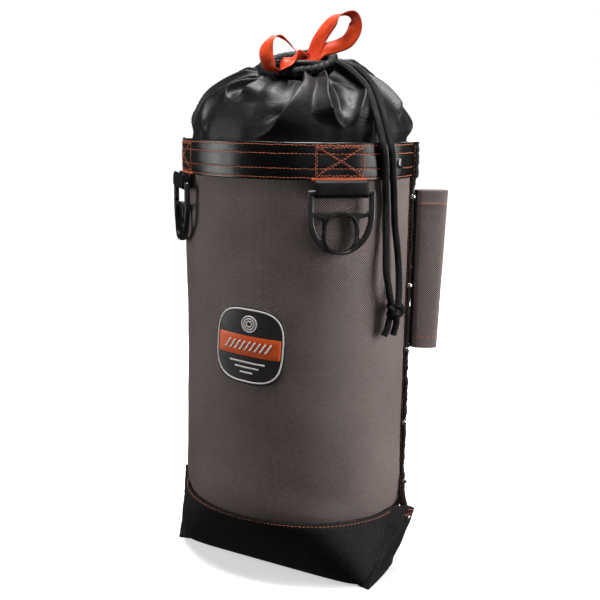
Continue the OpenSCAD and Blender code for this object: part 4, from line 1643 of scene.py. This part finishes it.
SEAM_RIVETS = [(95, 6.4, -3.2), (156, 3.1, 0), (233, 3.1, 0), (298, 3.1, 0), (386, 3.1, 0)]


def make_rivets():
    ears = ((1, "right", Vector((131.1, 9, 57)), 16, RIGHT_SEAM),
            (-1, "left", Vector((136.6, 0, 51)), 21, LEFT_SEAM))
    for side, name, middle, lean, t in ears:
        points, faces = [], []
        lean = math.radians(lean)
        out = Vector((side * math.cos(lean), -0.12, -math.sin(lean))).normalized()
        middle = Vector((side * (middle.x + 0.6), middle.y, middle.z)) * MM
        make_rivet_cap(points, faces, middle, out, 4.3 * MM, 1.9 * MM)
        piece = make(name + "_ear_rivet_cap", points, faces, NICKEL, "bag")
        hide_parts(name + "_ear_rivet")
        points, faces = [], []
        normal = wall_normal(t)
        face = Vector((side * (0.75 * normal.x + normal.y), 0.75 * normal.y - normal.x,
                       0)).normalized()
        for z, away, back in SEAM_RIVETS:
            make_rivet_cap(points, faces, seam_point(side, t, away + 0.5, back - 3.4, z * MM), face,
                           2.7 * MM, 1.5 * MM)
        piece = make(name + "_seam_rivet_caps", points, faces, NICKEL, "bag")
        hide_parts(name + "_seam_rivets")
    points, faces = [], []
    low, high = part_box("band_rivets")
    for side in (-1, 1):
        z = (low.z + high.z) / 2
        turn = side * BAND_RIVET_T
        make_rivet_cap(points, faces, wall(turn, z, band_out(turn, z)), wall_normal(turn), 5.5 * MM,
                       1.8 * MM)
    piece = make("band_rivet_caps", points, faces, DARK_PLATE, "bag")
    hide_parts("band_rivets")


make_rivets()
dress("base_board", HIDDEN_SHEET)
dress("band_stiffener", HIDDEN_SHEET)
dress("drawcord_in_hem", CORD_BRAID)


# Floor, lights and background

def make_floor():
    size = 6.0
    mesh = bpy.data.meshes.new("floor")
    mesh.from_pydata([(-size, -size, 0), (size, -size, 0), (size, size, 0), (-size, size, 0)], [],
                     [(0, 1, 2, 3)])
    mesh.materials.append(floor_paint())
    floor = bpy.data.objects.new("floor", mesh)
    bpy.context.scene.collection.objects.link(floor)
    # The floor's glow is for the background, and doesn't light the bag
    floor.visible_diffuse = False
    floor.visible_glossy = False


def area_light(name, turn, tilt, distance, size, power, target=(0, 0, 0.27)):
    """A soft box; turn is its angle round the bag from the front, tilt its height angle."""
    data = bpy.data.lights.new(name, "AREA")
    data.shape = "RECTANGLE"
    data.size, data.size_y = size
    data.energy = power
    light = bpy.data.objects.new(name, data)
    away = direction(math.radians(turn), math.radians(tilt))
    light.location = Vector(target) + away * distance
    light.rotation_euler = away.to_track_quat("Z", "Y").to_euler()
    bpy.context.scene.collection.objects.link(light)


def make_world():
    """White behind the bag, and a dim even light all round, so that glossy black stays black."""
    world = bpy.data.worlds.new("studio")
    world.use_nodes = True
    tree = world.node_tree
    path = tree.nodes.new("ShaderNodeLightPath")
    strength = tree.nodes.new("ShaderNodeMapRange")
    for value, socket in zip((0.0, 1.0, 0.05, 1.0), list(strength.inputs)[1:5]):
        socket.default_value = value
    tree.links.new(path.outputs["Is Camera Ray"], strength.inputs[0])
    background = tree.nodes["Background"]
    background.inputs[0].default_value = (1.0, 1.0, 1.0, 1.0)
    tree.links.new(strength.outputs[0], background.inputs[1])
    bpy.context.scene.world = world


def make_studio():
    make_world()
    bpy.context.scene.view_settings.view_transform = "Standard"
    area_light("right_soft_box", 106, 14, 1.4, (0.75, 1.1), 25, (0, 0, 0.2))
    area_light("left_soft_box", -56, 8, 1.4, (0.40, 1.1), 10, (0, 0, 0.2))
    area_light("top_soft_box", 24, 84, 1.4, (0.5, 0.5), 32)
    area_light("rear_top_soft_box", 208, 74, 1.4, (0.5, 0.4), 12)
    area_light("front_fill", 44, 10, 2.2, (0.8, 0.8), 2)
    area_light("back_soft_box", 205, 20, 1.8, (0.9, 1.1), 16)


make_floor()
make_studio()
